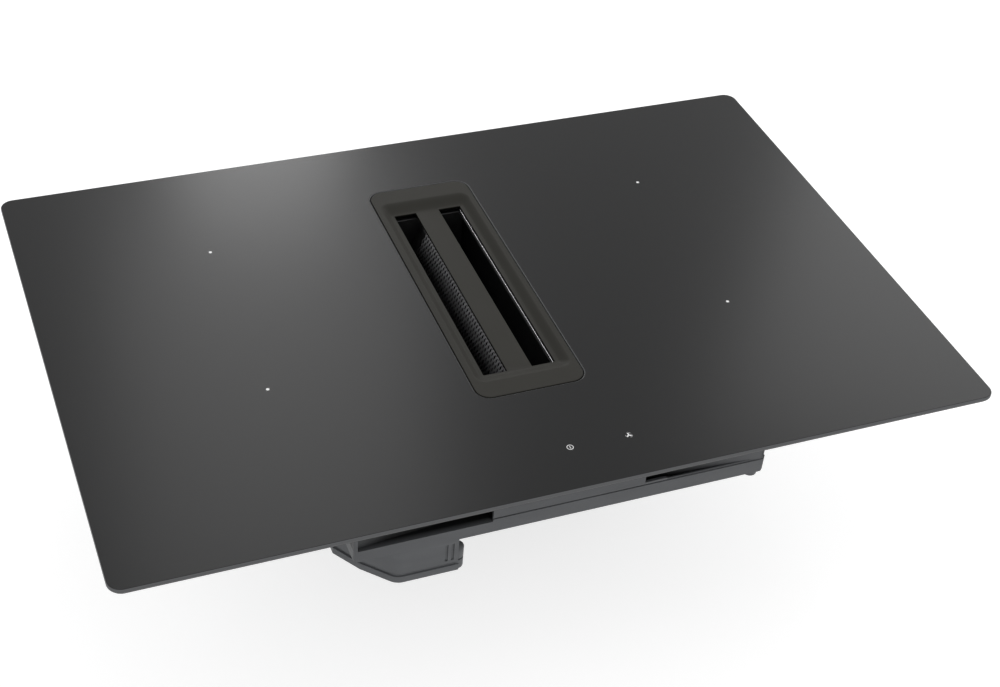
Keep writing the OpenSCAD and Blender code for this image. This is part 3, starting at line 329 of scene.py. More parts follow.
def moulding(name, colour, rough=0.46, cloud=0.12, shade_of=None):
    """Moulded plastic: clouds of glass fibre at the skin, streaks of flow and a fine grain.

    shade_of may give a mask of painted shade that darkens the colour in places."""
    f = Finish(name)
    flow = f.noise(25 * MM, detail=3, at=f.at(scale=(0.35, 1, 1.6)))
    fine = f.noise(0.25 * MM, detail=2)
    dust = f.noise(3 * MM, detail=4, rough=0.7)
    shade = f.ramp(flow * 0.7 + dust * 0.3, 0.3, 0.7)
    skin_colour = f.mix(shade, grey(1 - cloud, colour), grey(1 + cloud, colour))
    if shade_of:
        # Painted shade: the colour goes to black where the mask is 0.
        skin_colour = f.mix(shade_of(f), grey(0.0), skin_colour)
    return f.done(
        Base_Color=skin_colour,
        Roughness=f.ramp(dust, 0.3, 0.7, rough - 0.07, rough + 0.07),
        Specular_IOR_Level=0.3,
        Normal=f.bump(fine, 0.02 * MM))


def foam():
    """Closed-cell foam: small round pores."""
    f = Finish("seal_foam")
    pores = f.cells(0.7 * MM)
    return f.done(
        Base_Color=f.mix(f.ramp(pores, 0.1, 0.5), grey(0.012), grey(0.035)),
        Roughness=0.9,
        Normal=f.bump(pores, 0.15 * MM))


# %% [markdown]
# Metals
#
# Each sheet metal has its own sign: stainless steel is brushed along its length,
# galvanised sheet shows zinc crystals, aluminium has fine rolling lines, and turned
# or plated steel is smooth with a few scratches. The filter's net is bright at its
# ridge and falls off into the dark of the inlet. In even studio light it would look lit
# too far down, so a mask on the height helps the shade along.


# %% Metal finishes
def brushed(name, colour, along, rough=0.32):
    """Noise stretched by along, in the shade, the roughness and the relief."""
    f = Finish(name)
    lines = f.noise(6 * MM, detail=5, rough=0.7, at=f.at(scale=along))
    smear = f.noise(30 * MM, detail=3)
    return f.done(
        Base_Color=f.mix(lines, grey(0.86, colour), grey(1.05, colour)),
        Metallic=1.0,
        Roughness=f.ramp(lines * 0.6 + smear * 0.4, 0.3, 0.7, rough - 0.08, rough + 0.12),
        Normal=f.bump(lines, 0.01 * MM))


NET_TINT = (1, 1, 1.03)
NET_DARKENS = (-12 * MM, -34 * MM)


def filter_net():
    """Bright strands, which turn almost black between the two heights of NET_DARKENS."""
    f = Finish("filter_mesh")
    lines = f.noise(6 * MM, detail=5, rough=0.7, at=f.at(scale=(4, 1, 1)))
    shade = f.ramp(f.axes(f.here)[2], *NET_DARKENS) ** 0.6
    strand = f.mix(lines, grey(0.8, NET_TINT), grey(1.0, NET_TINT))
    return f.done(
        Base_Color=f.mix(shade, strand, grey(0.03)),
        Metallic=0.3,
        Roughness=f.ramp(lines, 0.3, 0.7, 0.26, 0.42),
        Normal=f.bump(lines, 0.01 * MM))


def galvanised():
    """Zinc crystals some millimetres wide, each with its own shade and dullness."""
    f = Finish("tray_sheet")
    flake = f.axes(f.cells(9 * MM, "Color"))[0]
    veins = f.noise(2 * MM, detail=3, at=f.at(scale=(1, 3, 1)))
    shade = flake * 0.7 + veins * 0.3
    return f.done(
        Base_Color=f.mix(shade, grey(0.40, (0.97, 1, 1.02)), grey(0.54, (0.98, 1, 1.02))),
        Metallic=0.9,
        Roughness=f.ramp(shade, 0.1, 0.9, 0.52, 0.34),
        Normal=f.bump(veins, 0.01 * MM))


def bright_steel(name, colour):
    """Plated or turned steel with small scratches and a faint haze."""
    f = Finish(name)
    scratch = f.noise(1.2 * MM, detail=6, rough=0.8, at=f.at(scale=(1, 8, 1), turn=(0, 0, 0.6)))
    haze = f.noise(8 * MM)
    return f.done(
        Base_Color=f.mix(haze, grey(0.9, colour), grey(1.0, colour)),
        Metallic=1.0,
        Roughness=f.ramp(scratch, 0.35, 0.75, 0.16, 0.36),
        Normal=f.bump(scratch, 0.004 * MM))


# %% [markdown]
# Inner parts
#
# Under the glass lie the parts that make the heat: mica mats, copper windings, black
# ferrite, green circuit boards and blue capacitors. They are seen when someone takes
# the cooktop apart, so they get their own finish too. Patterns worked out from places
# serve here, because no picture has to be fitted to so many small faces.


# %% Inner finishes
FERRITE = (0.045, 0.045, 0.05)
TRACK = 9 * MM
PAD_PITCH = (5.08 * MM, 7.62 * MM)
PAD_STRETCH, PAD_SIZE = 0.45, 0.008


def mica():
    """Pressed mica: pale flakes of two sizes with a pearly sheen."""
    f = Finish("insulation")
    flakes = f.cells(3 * MM)
    specks = f.noise(0.8 * MM, detail=4)
    return f.done(
        Base_Color=f.mix(flakes * 0.5 + specks * 0.5, (0.62, 0.56, 0.42, 1), (0.8, 0.77, 0.68, 1)),
        Roughness=f.ramp(specks, 0.3, 0.7, 0.35, 0.6),
        Normal=f.bump(flakes, 0.03 * MM))


def litz():
    """Enamelled copper strands: only the enamel is here."""
    f = Finish("copper_litz")
    enamel = f.noise(1.5 * MM, detail=3)
    return f.done(
        Base_Color=f.mix(enamel, (0.38, 0.13, 0.045, 1), (0.62, 0.27, 0.11, 1)),
        Metallic=0.85,
        Roughness=f.ramp(enamel, 0.3, 0.7, 0.25, 0.42),
        Coat_Weight=0.4)


def ferrite():
    """Sintered powder: dull, with pits."""
    f = Finish("ferrite")
    pits = f.cells(0.9 * MM)
    return f.done(
        Base_Color=f.mix(f.noise(6 * MM), grey(0.8, FERRITE), grey(1.1, FERRITE)),
        Roughness=0.62,
        Normal=f.bump(f.ramp(pits, 0.0, 0.25), 0.03 * MM))


def circuit_board():
    """Green solder mask over copper tracks, with rows of tinned pads.

    A pad is where the distance to the middle of its PAD_PITCH field is small."""
    f = Finish("circuit_board")
    x, y = f.axes(f.here)[:2]
    bricks = f.node("ShaderNodeTexBrick", {"offset": 0.37, "squash": 0.6},
                    f.at(scale=(1 / TRACK, 1 / TRACK, 1)),
                    Scale=1.0, Mortar_Size=0.06, Brick_Width=1.3, Row_Height=0.45)
    track = Sock(f, bricks.outputs["Fac"])
    near_x = ((x / PAD_PITCH[0]).of("FRACT") - 0.5).of("ABSOLUTE")
    near_y = ((y / PAD_PITCH[1]).of("FRACT") - 0.5).of("ABSOLUTE")
    pad = (near_x * near_x * PAD_STRETCH + near_y * near_y) < PAD_SIZE
    mask = f.mix(track, (0.012, 0.12, 0.045, 1), (0.03, 0.22, 0.075, 1))
    return f.done(
        Base_Color=f.mix(pad, mask, (0.62, 0.63, 0.6, 1)),
        Metallic=pad * 0.9,
        Roughness=f.ramp(pad, 0, 1, 0.3, 0.38),
        Normal=f.bump(track + pad, 0.03 * MM))


def sleeve():
    """Shrunk film sleeve: glossy blue, a little cloudy."""
    f = Finish("capacitor_sleeve")
    cloud = f.noise(10 * MM)
    return f.done(
        Base_Color=f.mix(cloud, (0.012, 0.035, 0.17, 1), (0.02, 0.055, 0.24, 1)),
        Roughness=f.ramp(cloud, 0.3, 0.7, 0.18, 0.3),
        Coat_Weight=0.3)


# %% [markdown]
# One finish for each material slot
#
# The CAD record names a slot for each part, such as "tray_sheet". The table below gives
# every slot its finish, and every CAD part then takes the finish of its slot. That way
# two parts of one material can't drift apart.

# %% Assign the finishes
FINISHES = {
    "black_glass": black_glass(),
    "seal_foam": foam(),
    "black_plastic": moulding("black_plastic", (0.012, 0.012, 0.013)),
    "grille_paint": grille_paint(),
    "filter_steel": brushed("filter_steel", (0.1, 0.101, 0.103), along=(40, 1, 1), rough=0.4),
    "filter_mesh": filter_net(),
    "tray_sheet": galvanised(),
    "aluminium_sheet": brushed("aluminium_sheet", (0.78, 0.79, 0.80), along=(1, 30, 30)),
    "insulation": mica(),
    "copper_litz": litz(),
    "white_plastic": moulding("white_plastic", (0.72, 0.72, 0.68), rough=0.5, cloud=0.04),
    "ferrite": ferrite(),
    "circuit_board": circuit_board(),
    "capacitor_sleeve": sleeve(),
    "grey_plastic": moulding("grey_plastic", (0.115, 0.119, 0.125), 0.48, shade_of=painted_band_shade),
    "housing_plastic": moulding("housing_plastic", (0.060, 0.062, 0.066)),
    "motor_metal": brushed("motor_metal", (0.5, 0.51, 0.53), along=(1, 1, 8), rough=0.4),
    "steel": bright_steel("steel", (0.72, 0.72, 0.74)),
    "spring_steel": brushed("spring_steel", (0.56, 0.57, 0.59), along=(1, 30, 1), rough=0.28),
    "pad_spring": bright_steel("pad_spring", (0.78, 0.68, 0.42)),
}
SLOT_OF = {row["node"]: row["material_slot"] for row in frame["record"]["subparts"]}
BODY_OF = {n: body for body, names in frame["record"]["behaviour"]["bodies"].items() for n in names}


def dress(obj, slot):
    """Gives obj the finish of a slot and nothing else."""
    obj.data.materials.clear()
    obj.data.materials.append(FINISHES[slot])


for name, obj in frame["nodes"].items():
    dress(obj, SLOT_OF[name])
print("finishes:", len(FINISHES))

# %% [markdown]
# Surfaces from arrays
#
# A new piece is a grid of points that numpy works out at once. rounded_loop walks
# round a rectangle with round corners, so that loops of different sizes can be joined
# point by point; skin() joins a stack of loops into one surface.


# %% Mesh helpers
def make_mesh(name, verts, quads, slot, body, smooth=35.0):
    """A mesh piece from arrays of points and of four-cornered faces."""
    mesh = bpy.data.meshes.new(name)
    mesh.vertices.add(len(verts))
    mesh.vertices.foreach_set("co", np.asarray(verts, np.float32).ravel())
    mesh.loops.add(4 * len(quads))
    mesh.loops.foreach_set("vertex_index", np.asarray(quads, np.int32).ravel())
    mesh.polygons.add(len(quads))
    mesh.polygons.foreach_set("loop_start", np.arange(0, 4 * len(quads), 4, dtype=np.int32))
    mesh.polygons.foreach_set("use_smooth", np.ones(len(quads), bool))
    mesh.update(calc_edges=True)
    mesh.validate()
    mesh.set_sharp_from_angle(angle=math.radians(smooth))
    obj = bpy.data.objects.new(name, mesh)
    bpy.context.scene.collection.objects.link(obj)
    dress(obj, slot)
    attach(obj, body)
    return obj


def rounded_loop(half_x, half_y, radius, steps, sides):
    """Points round a rectangle with round corners, anticlockwise from the right side.

    Each corner is an arc of steps parts; each side is cut into sides parts."""
    a = np.linspace(0, math.pi / 2, steps + 1)
    arc = radius * np.stack([np.cos(a), np.sin(a)], axis=1)
    inner = np.array([half_x - radius, half_y - radius])
    turns = [(1, 1), (-1, 1), (-1, -1), (1, -1)]
    parts = []
    for sx, sy in turns:
        corner = arc if sx * sy > 0 else arc[::-1]
        parts.append((corner + inner) * (sx, sy))
    out = []
    for k, part in enumerate(parts):
        out.append(part)
        cuts = sides[k % 2]
        follow = parts[(k + 1) % 4][0]
        t = np.arange(1, cuts)[:, None] / cuts
        out.append(part[-1] + (follow - part[-1]) * t)
    return np.concatenate(out)


def skin(loops, close=False):
    """Points and quads of a surface through a stack of equal loops, shape (k, n, 3)."""
    k, n, _ = loops.shape
    rows = np.arange(k if close else k - 1)[:, None]
    cols = np.arange(n)[None, :]
    nxt_r, nxt_c = (rows + 1) % k, (cols + 1) % n
    quads = np.stack([rows * n + cols, rows * n + nxt_c, nxt_r * n + nxt_c, nxt_r * n + cols],
                     axis=-1).reshape(-1, 4)
    return loops.reshape(-1, 3), quads


def at_height(loop, z):
    """A plane loop as points at height z."""
    return np.concatenate([loop, np.full((len(loop), 1), z)], axis=1)


# %% [markdown]
# The glass plate
#
# The plate is 4 mm thick. Its rim and the rim of the opening are ground to a small
# round edge, and that edge is what draws the thin light line round the inlet. The
# section runs once round the plate's thickness, and is carried from the loop of the
# opening to the loop of the rim.

# %% Glass plate
glass_lo, glass_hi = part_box("glass_top")
grille_lo, grille_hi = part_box("inlet_grille")
GLASS_R, OPENING_R = 12 * MM, 14 * MM
EDGE, FLAT, GAP = 0.8 * MM, 0.3 * MM, 1.0 * MM
CORNER_STEPS, EDGE_STEPS, GLASS_CUTS = 10, 4, (40, 30)
inlet_y = (grille_lo.y + grille_hi.y) / 2


def glass_plate():
    """A ring of loops: up the wall of the opening, over the top and down the rim.

    The ground edge is a quarter circle of radius EDGE at each top corner. The opening is
    GAP larger than the grille."""
    half = np.array([glass_hi.x, glass_hi.y])
    hole = np.array([grille_hi.x, (grille_hi.y - grille_lo.y) / 2]) + GAP

    def outer(inset, z):
        loop = rounded_loop(*(half - inset), GLASS_R - inset, CORNER_STEPS, GLASS_CUTS)
        return at_height(loop, z)

    def inner(grow, z):
        loop = rounded_loop(*(hole + grow), OPENING_R + grow, CORNER_STEPS, GLASS_CUTS)
        return at_height(loop + (0, inlet_y), z)

    turn = np.linspace(0, math.pi / 2, EDGE_STEPS + 1)
    top, bottom = glass_hi.z, glass_lo.z
    loops = [inner(0, bottom)]
    loops += [inner(EDGE * (1 - math.cos(a)), top - EDGE * (1 - math.sin(a))) for a in turn]
    loops += [inner(EDGE + FLAT, top), outer(EDGE + FLAT, top)]
    loops += [outer(EDGE * (1 - math.sin(a)), top - EDGE * (1 - math.cos(a))) for a in turn]
    loops += [outer(0, bottom + EDGE), outer(EDGE / 2, bottom)]
    return skin(np.array(loops)[::-1], close=True)


glass = make_mesh("glass_plate", *glass_plate(), "black_glass", "root", smooth=25)
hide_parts("glass_top")
print("glass plate", len(glass.data.polygons), "faces")

# %% [markdown]
# Printed marks
#
# The zones have only a small white dot each, and two keys are printed at the front:
# a power sign and a fan sign. They are screen-printed. A mask in the glass's finish
# could draw them, but its edges would be soft, so here they are flat shapes a twentieth
# of a millimetre above the glass.

# %% Marks on the glass
INK = 0.05 * MM
MARK_Z = glass_hi.z + INK
DOT_X, DOT_YS, DOT_R = 218.4 * MM, (129 * MM, -72 * MM), 1.5 * MM
POWER_AT, FAN_AT, KEY_R = (0.7 * MM, -212.6 * MM), (54.1 * MM, -213.1 * MM), 3 * MM
PINHOLE = 0.02 * MM
RING_LINE, THIN_LINE = 0.6 * MM, 0.25 * MM
BAR_HALF_W, BAR_HALF_H = 0.3 * MM, 1.7 * MM
BLADE_TURNS, BLADE_BEND, BLADE_WIDE, BLADE_STEPS = (76, 196, 316), 0.5, 0.25, 8
TIP_FROM, TIP_TO = -35, 25


def white_print():
    """White ceramic ink with a slightly uneven edge of tone."""
    f = Finish("white_print")
    ink = f.noise(0.4 * MM, detail=3)
    return f.done(Base_Color=f.mix(ink, grey(0.78), grey(0.9)), Roughness=0.45,
                  Normal=f.bump(ink, 0.01 * MM))


def arc_band(centre, r0, r1, start, end, steps=32):
    """A flat band between two radii, from angle start to end in degrees."""
    a = np.radians(np.linspace(start, end, steps + 1))
    ring = np.stack([np.cos(a), np.sin(a)], axis=1)
    verts = np.concatenate([at_height(ring * r + centre, MARK_Z) for r in (r0, r1)])
    k = np.arange(steps)
    return verts, np.stack([k, k + steps + 1, k + steps + 2, k + 1], axis=1)


def power_bar():
    """The flat upright bar in the power sign."""
    corners = np.array([[-1, -1], [1, -1], [1, 1], [-1, 1]]) * (BAR_HALF_W, BAR_HALF_H)
    return at_height(corners + POWER_AT, MARK_Z), np.array([[0, 1, 2, 3]])


def fan_blade(turn):
    """A leaf from the hub, u from 0 to 1, at the angle turn + BLADE_BEND * u and as wide as
    BLADE_WIDE * sin(pi * u^0.8), in lengths of the sign's radius."""
    u = np.linspace(0, 1, BLADE_STEPS + 1)
    width = BLADE_WIDE * np.sin(math.pi * u ** 0.8) * KEY_R
    mid = math.radians(turn) + BLADE_BEND * u
    axis = np.stack([np.cos(mid), np.sin(mid)], axis=1) * (u * KEY_R)[:, None]
    side = np.stack([-np.sin(mid), np.cos(mid)], axis=1) * width[:, None]
    verts = np.concatenate([at_height(axis + side + FAN_AT, MARK_Z),
                            at_height(axis - side + FAN_AT, MARK_Z)])
    k, n = np.arange(BLADE_STEPS), BLADE_STEPS + 1
    return verts, np.stack([k, k + n, k + n + 1, k + 1], axis=1)


def together(shapes):
    """One mesh from several shapes."""
    verts, quads, start = [], [], 0
    for v, q in shapes:
        verts.append(v)
        quads.append(q + start)
        start += len(v)
    return np.concatenate(verts), np.concatenate(quads)


dots = [arc_band((x, y), PINHOLE, DOT_R, 0, 360) for x in (-DOT_X, DOT_X) for y in DOT_YS]
power = [arc_band(POWER_AT, KEY_R - RING_LINE, KEY_R, 0, 360), power_bar()]
propeller = [fan_blade(turn) for turn in BLADE_TURNS]
propeller += [arc_band(FAN_AT, KEY_R - THIN_LINE, KEY_R, turn + TIP_FROM, turn + TIP_TO, 10)
              for turn in BLADE_TURNS]
WHITE = white_print()
for mark_name, shapes in (("zone_dots", dots), ("power_sign", power), ("fan_sign", propeller)):
    mark = make_mesh(mark_name, *together(shapes), "black_glass", "root")
    mark.data.materials[0] = WHITE
print("marks:", len(dots), "dots and two signs")

# %% [markdown]
# The inlet grille
#
# The grille is one aluminium casting: a flat rim level with the glass, a soft slope
# down to a floor, and two long slots with a bar between them. It is symmetric, so only
# the right half is worked out. Its points lie on loops round the slot: the inner ones
# run down the slot's wall, and where a loop meets the middle plane it stops, while the
# rest of it goes on over floor, slope and rim to the outer edge. The slope is a smooth
# function across these loops; a CAD sweep would give it a crease at either end.

# %% Grille sizes
RIM_SIDE, RIM_DEEP = 5 * MM, 3 * MM
SLOPE_SIDE, SLOPE_END = 8 * MM, 13 * MM
DISH_DROP, DISH_END = 5.3 * MM, 1.5 * MM
SLOPE_ROWS, SLOPE_SOFT = 12, 0.55
BAR_W = 23.4 * MM
SLOT_W, SLOT_L = 22 * MM, 246 * MM
SLOT_WALL = 2.5 * MM
SLOT_R, DISH_R, RIM_R = 0.7 * MM, 3 * MM, 9 * MM
GRILLE_R = 13 * MM
LIP, SLOT_LIP = 0.5 * MM, 0.3 * MM
CASTING = 1.8 * MM
ARC = 8
SIDE_CUTS = (12, 60, 12, 60)


# %% Half loops
def half_loop(x0, x1, half_y, radius, at_bar=0.0):
    """Points round a rectangle from x0 to x1, anticlockwise, starting at its lower left.

    The right corners are arcs of the given radius, the left ones of radius at_bar."""
    a = np.linspace(0, math.pi / 2, ARC + 1)
    arc = np.stack([np.cos(a), np.sin(a)], axis=1)
    corners = []
    for sx, sy, r in ((-1, -1, at_bar), (1, -1, radius), (1, 1, radius), (-1, 1, at_bar)):
        middle = np.array([x1 - r if sx > 0 else x0 + r, sy * (half_y - r)])
        turned = arc if sx * sy > 0 else arc[::-1]
        corners.append(middle + r * turned * (sx, sy))
    parts = []
    for k, cuts in enumerate(SIDE_CUTS):
        start, end = corners[k][-1], corners[(k + 1) % 4][0]
        t = np.arange(1, cuts)[:, None] / cuts
        parts += [corners[k], start + (end - start) * t]
    return np.concatenate(parts)


def quarter():
    """Pairs (1 - cos, 1 - sin) of a quarter turn, for a rounded edge of radius 1."""
    a = np.linspace(0, math.pi / 2, EDGE_STEPS + 1)
    return np.stack([1 - np.cos(a), 1 - np.sin(a)], axis=1)


# %% Grille surface
def grille_half():
    """The right half: loops up the slot's wall and over its lip to the floor, then open
    chains over the slope and the rim and down the outer edge. The slope's height is a
    blend of a straight line t and a smooth step t^2 (3 - 2 t), so that its ends are soft."""
    floor_z, top = grille_hi.z - DISH_DROP, grille_hi.z
    x0, x1, half_y = BAR_W / 2, BAR_W / 2 + SLOT_W, SLOT_L / 2

    def round_slot(g, z):
        return at_height(half_loop(x0 - g, x1 + g, half_y + g, SLOT_R + g, SLOT_R + g), z)

    rings = [round_slot(0, floor_z - SLOT_WALL), round_slot(0, floor_z - SLOT_WALL / 2)]
    rings += [round_slot(SLOT_LIP * c, floor_z - SLOT_LIP * s) for c, s in quarter()]
    dish_x, dish_y = grille_hi.x - RIM_SIDE - SLOPE_SIDE, half_y + DISH_END
    rings.append(at_height(half_loop(0, dish_x, dish_y, DISH_R), floor_z))
    inner = skin(np.array(rings)[::-1])

    end_y = (grille_hi.y - grille_lo.y) / 2
    slope_x, slope_y = dish_x + SLOPE_SIDE, dish_y + SLOPE_END
    levels = []
    for t in np.linspace(0, 1, SLOPE_ROWS + 1):
        rise = (1 - SLOPE_SOFT) * t + SLOPE_SOFT * t * t * (3 - 2 * t)
        levels.append((dish_x + SLOPE_SIDE * t, dish_y + SLOPE_END * t,
                       DISH_R + (RIM_R - DISH_R) * t, floor_z + DISH_DROP * rise))
    for t in (0.05, 0.95):
        levels.append((slope_x + (grille_hi.x - LIP - slope_x) * t,
                       slope_y + (end_y - LIP - slope_y) * t,
                       RIM_R + (GRILLE_R - LIP - RIM_R) * t, top))
    for c, s in quarter():
        levels.append((grille_hi.x - LIP * s, end_y - LIP * s, GRILLE_R - LIP * s, top - LIP * c))
    levels.append((grille_hi.x, end_y, GRILLE_R, top - RIM_DEEP))
    # A chain leaves out the side of its loop that lies in the middle plane.
    last = len(half_loop(0, 1, 1, 0)) - SIDE_CUTS[3] - ARC + 1
    chains = [at_height(half_loop(0, x, y, r), z)[ARC:last] for x, y, r, z in levels]
    width = len(chains[0])
    points, faces = skin(np.array(chains)[::-1])
    faces = faces[(faces % width).max(axis=1) - (faces % width).min(axis=1) <= 1]
    return together([inner, (points, faces)])


def mirrored(shape):
    """The shape and its mirror image at the middle plane, with its faces turned round."""
    verts, quads = shape
    return together([shape, (verts * (-1, 1, 1), quads[:, ::-1])])


def merge(obj, distance=0.01 * MM, outwards=True):
    """Joins points that lie on each other and, if asked, turns all faces outwards."""
    work = bmesh.new()
    work.from_mesh(obj.data)
    bmesh.ops.remove_doubles(work, verts=work.verts, dist=distance)
    bmesh.ops.dissolve_degenerate(work, edges=work.edges, dist=distance)
    if outwards:
        bmesh.ops.recalc_face_normals(work, faces=work.faces)
    work.to_mesh(obj.data)
    work.free()


def thicken(obj, thickness, offset=-1.0):
    """Gives a sheet its wall, behind its faces."""
    wall = obj.modifiers.new("wall", "SOLIDIFY")
    wall.thickness, wall.offset = thickness, offset
    wall.use_even_offset = True


# %% Grille
verts, quads = mirrored(grille_half())
grille = make_mesh("grille_casting", verts + (0, inlet_y, 0), quads, "grille_paint", "grille", 40)
merge(grille, outwards=False)
thicken(grille, CASTING)
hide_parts("inlet_grille")
print("grille", len(grille.data.polygons), "faces, slot", round(SLOT_W / MM, 1), "mm wide")

# %% [markdown]
# Guide wires
#
# A bright steel wire runs along the outer side of each slot, just inside it. Its ends
# are bent down and stand on the cassette under the grille. A wire is a tube: a ring of
# points carried along a path, which makes its polished top the thin line of light that
# the right slot shows.

# %% Tube along a wire
TUBE_SIDES = 10


def tube(path, radius):
    """A round tube along a path in a plane of constant X, closed at both ends.

    A ring's points are path + radius * (cos a * X + sin a * up), where up stands square
    to the path and to X. The first and last ring shrink to a point."""
    along = np.gradient(path, axis=0)
    along /= np.linalg.norm(along, axis=1, keepdims=True)
    across = np.broadcast_to((1.0, 0.0, 0.0), along.shape)
    up = np.cross(along, across)
    a = np.linspace(0, 2 * math.pi, TUBE_SIDES, endpoint=False)[None, :, None]
    size = np.full(len(path), radius)
    size[[0, -1]] = 0.0
    ring = np.cos(a) * across[:, None] + np.sin(a) * up[:, None]
    return skin(path[:, None] + size[:, None, None] * ring)


# %% Guide wires
WIRE_R, WIRE_DROP, WIRE_IN, WIRE_BEND = 0.32 * MM, 2.6 * MM, 0.7 * MM, 1.5 * MM
WIRE_SHORT, FOOT_STEP, BEND_STEPS = 1.2 * MM, 0.01 * MM, 6
filter_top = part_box("filter_frame")[1].z


def wire_path(x):
    """Up from the cassette, a quarter turn, along the slot, and down the same way."""
    top = grille_hi.z - DISH_DROP - WIRE_DROP
    reach = SLOT_L / 2 - WIRE_SHORT
    a = np.linspace(0, math.pi / 2, BEND_STEPS + 1)
    y = np.concatenate([[reach, reach], reach - WIRE_BEND * (1 - np.cos(a))])
    foot = [filter_top, filter_top + FOOT_STEP]
    z = np.concatenate([foot, top - WIRE_BEND * (1 - np.sin(a))])
    half = np.stack([np.full(len(y), x), y, z], axis=1)
    return np.concatenate([half * (1, -1, 1), half[::-1]]) + (0, inlet_y, 0)


wires = [tube(wire_path(s * (BAR_W / 2 + SLOT_W - WIRE_IN)), WIRE_R) for s in (-1, 1)]
guide_wires = make_mesh("guide_wires", *together(wires), "steel", "filter", 60)
merge(guide_wires, distance=0.004 * MM)
print("guide wires", len(guide_wires.data.polygons), "faces")

# %% [markdown]
# The filter mesh
#
# Grease filters are made of expanded metal: a sheet is slit and pulled, so that it
# becomes a net of diamonds in one piece, with strands that stand a little on edge.
# A panel is a grid of diamond cells in staggered rows, with the long way of the diamonds
# down the slope. Each cell is a ring of four faces between its outline and its hole; a
# wall makes it a solid sheet. Holes in a finish would be quicker, but only real strands
# shade each other and glint one by one. At the back a plain strip holds the net.

# %% Filter mesh
TENT_X, TENT_Z = (3 * MM, 33 * MM), (-8.6 * MM, -83.7 * MM)
CELL_Y, CELL_DOWN, STRAND = 5.0 * MM, 9.0 * MM, 0.17
MESH_WALL, MESH_RELIEF = 0.35 * MM, 0.35 * MM
HEM, HEM_WALL, HEM_ROWS = 14 * MM, 0.6 * MM, 8
filter_lo, filter_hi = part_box("filter_mesh_right")


def mesh_panel():
    """The right panel. A cell's four corners and its four hole corners are worked out for
    all cells at once, in the sheet's own plane, and then laid on the slope of the tent.
    The corners across a strand stand up and down by turns, as in pulled metal."""
    fall = math.hypot(TENT_X[1] - TENT_X[0], TENT_Z[0] - TENT_Z[1])
    length = filter_hi.y - filter_lo.y - HEM
    rows, cols = int(fall / CELL_DOWN), int(length / CELL_Y)
    high, wide = fall / rows, length / cols
    i, j = (g.ravel() for g in np.meshgrid(np.arange(2 * rows - 1), np.arange(cols)))
    u = (i + 1) * high / 2
    v = (j + 0.5 + 0.5 * (i % 2)) * wide
    keep = (j < cols - 1) | (i % 2 == 0)
    u, v = u[keep], v[keep]
    corner = np.array([[0, -0.5], [0.5, 0], [0, 0.5], [-0.5, 0]]) * (high, wide)
    lift = np.array([0.0, 1.0, 0.0, -1.0]) * MESH_RELIEF
    centre = np.stack([u, v], axis=1)[:, None, :]
    outline, hole = centre + corner, centre + corner * (1 - 2 * STRAND)
    flat = np.concatenate([outline, hole], axis=1).reshape(-1, 2)
    height = np.tile(np.concatenate([lift * 0, lift]), len(u))
    down = np.array([TENT_X[1] - TENT_X[0], 0, TENT_Z[1] - TENT_Z[0]]) / fall
    out = np.array([-down[2], 0, down[0]])
    start = np.array([TENT_X[0], filter_lo.y, TENT_Z[0]])
    verts = start + flat[:, :1] * down + flat[:, 1:] * (0, 1, 0) + height[:, None] * out
    ring = np.array([[k, (k + 1) % 4, 4 + (k + 1) % 4, 4 + k] for k in range(4)])
    quads = (np.arange(len(u))[:, None, None] * 8 + ring).reshape(-1, 4)
    return verts, quads[:, ::-1]


for side, sign in (("right", 1), ("left", -1)):
    verts, quads = mesh_panel()
    panel = make_mesh(f"filter_net_{side}", verts * (sign, 1, 1), quads[:, ::sign],
                      "filter_mesh", "filter", 180)
    merge(panel, outwards=False)
    thicken(panel, MESH_WALL, offset=0.0)
    panel.modifiers["wall"].use_even_offset = False
    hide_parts(f"filter_mesh_{side}")
    print(panel.name, len(panel.data.polygons), "faces")


def hem_strip(sign):
    """The plain strip of sheet that holds the net's back end, on the same slope."""
    t = np.linspace(0, 1, HEM_ROWS + 1)[:, None]
    ridge, foot = np.array([TENT_X[0], 0, TENT_Z[0]]), np.array([TENT_X[1], 0, TENT_Z[1]])
    rows = ridge + t * (foot - ridge)
    ends = [rows + (0, filter_hi.y - HEM, 0), rows + (0, filter_hi.y, 0)]
    verts = np.concatenate(ends) * (sign, 1, 1)
    k = np.arange(len(t) - 1)
    quads = np.stack([k, k + len(t), k + len(t) + 1, k + 1], axis=1)
    return verts, quads[:, ::-sign]


both_hems = together([hem_strip(1), hem_strip(-1)])
hems = make_mesh("filter_hems", *both_hems, "filter_steel", "filter", 30)
thicken(hems, HEM_WALL, offset=0.0)
print(hems.name, len(hems.data.polygons), "faces")

# %% [markdown]
# Rounded edges
#
# A CAD edge is infinitely sharp and never catches the light, but a moulded or pressed
# part always has a small radius. Each visible CAD part is copied, its loose triangles
# are merged back into flat faces, and a Bevel modifier rounds its edges. The copy
# stands for the CAD part. The modifier keeps the CAD's faces where they are, which
# modelling these parts anew would not.


# %% Rounded copies
SHARP = math.radians(32)
FLAT_ENOUGH = math.radians(0.5)
SAME_POINT = 0.002 * MM


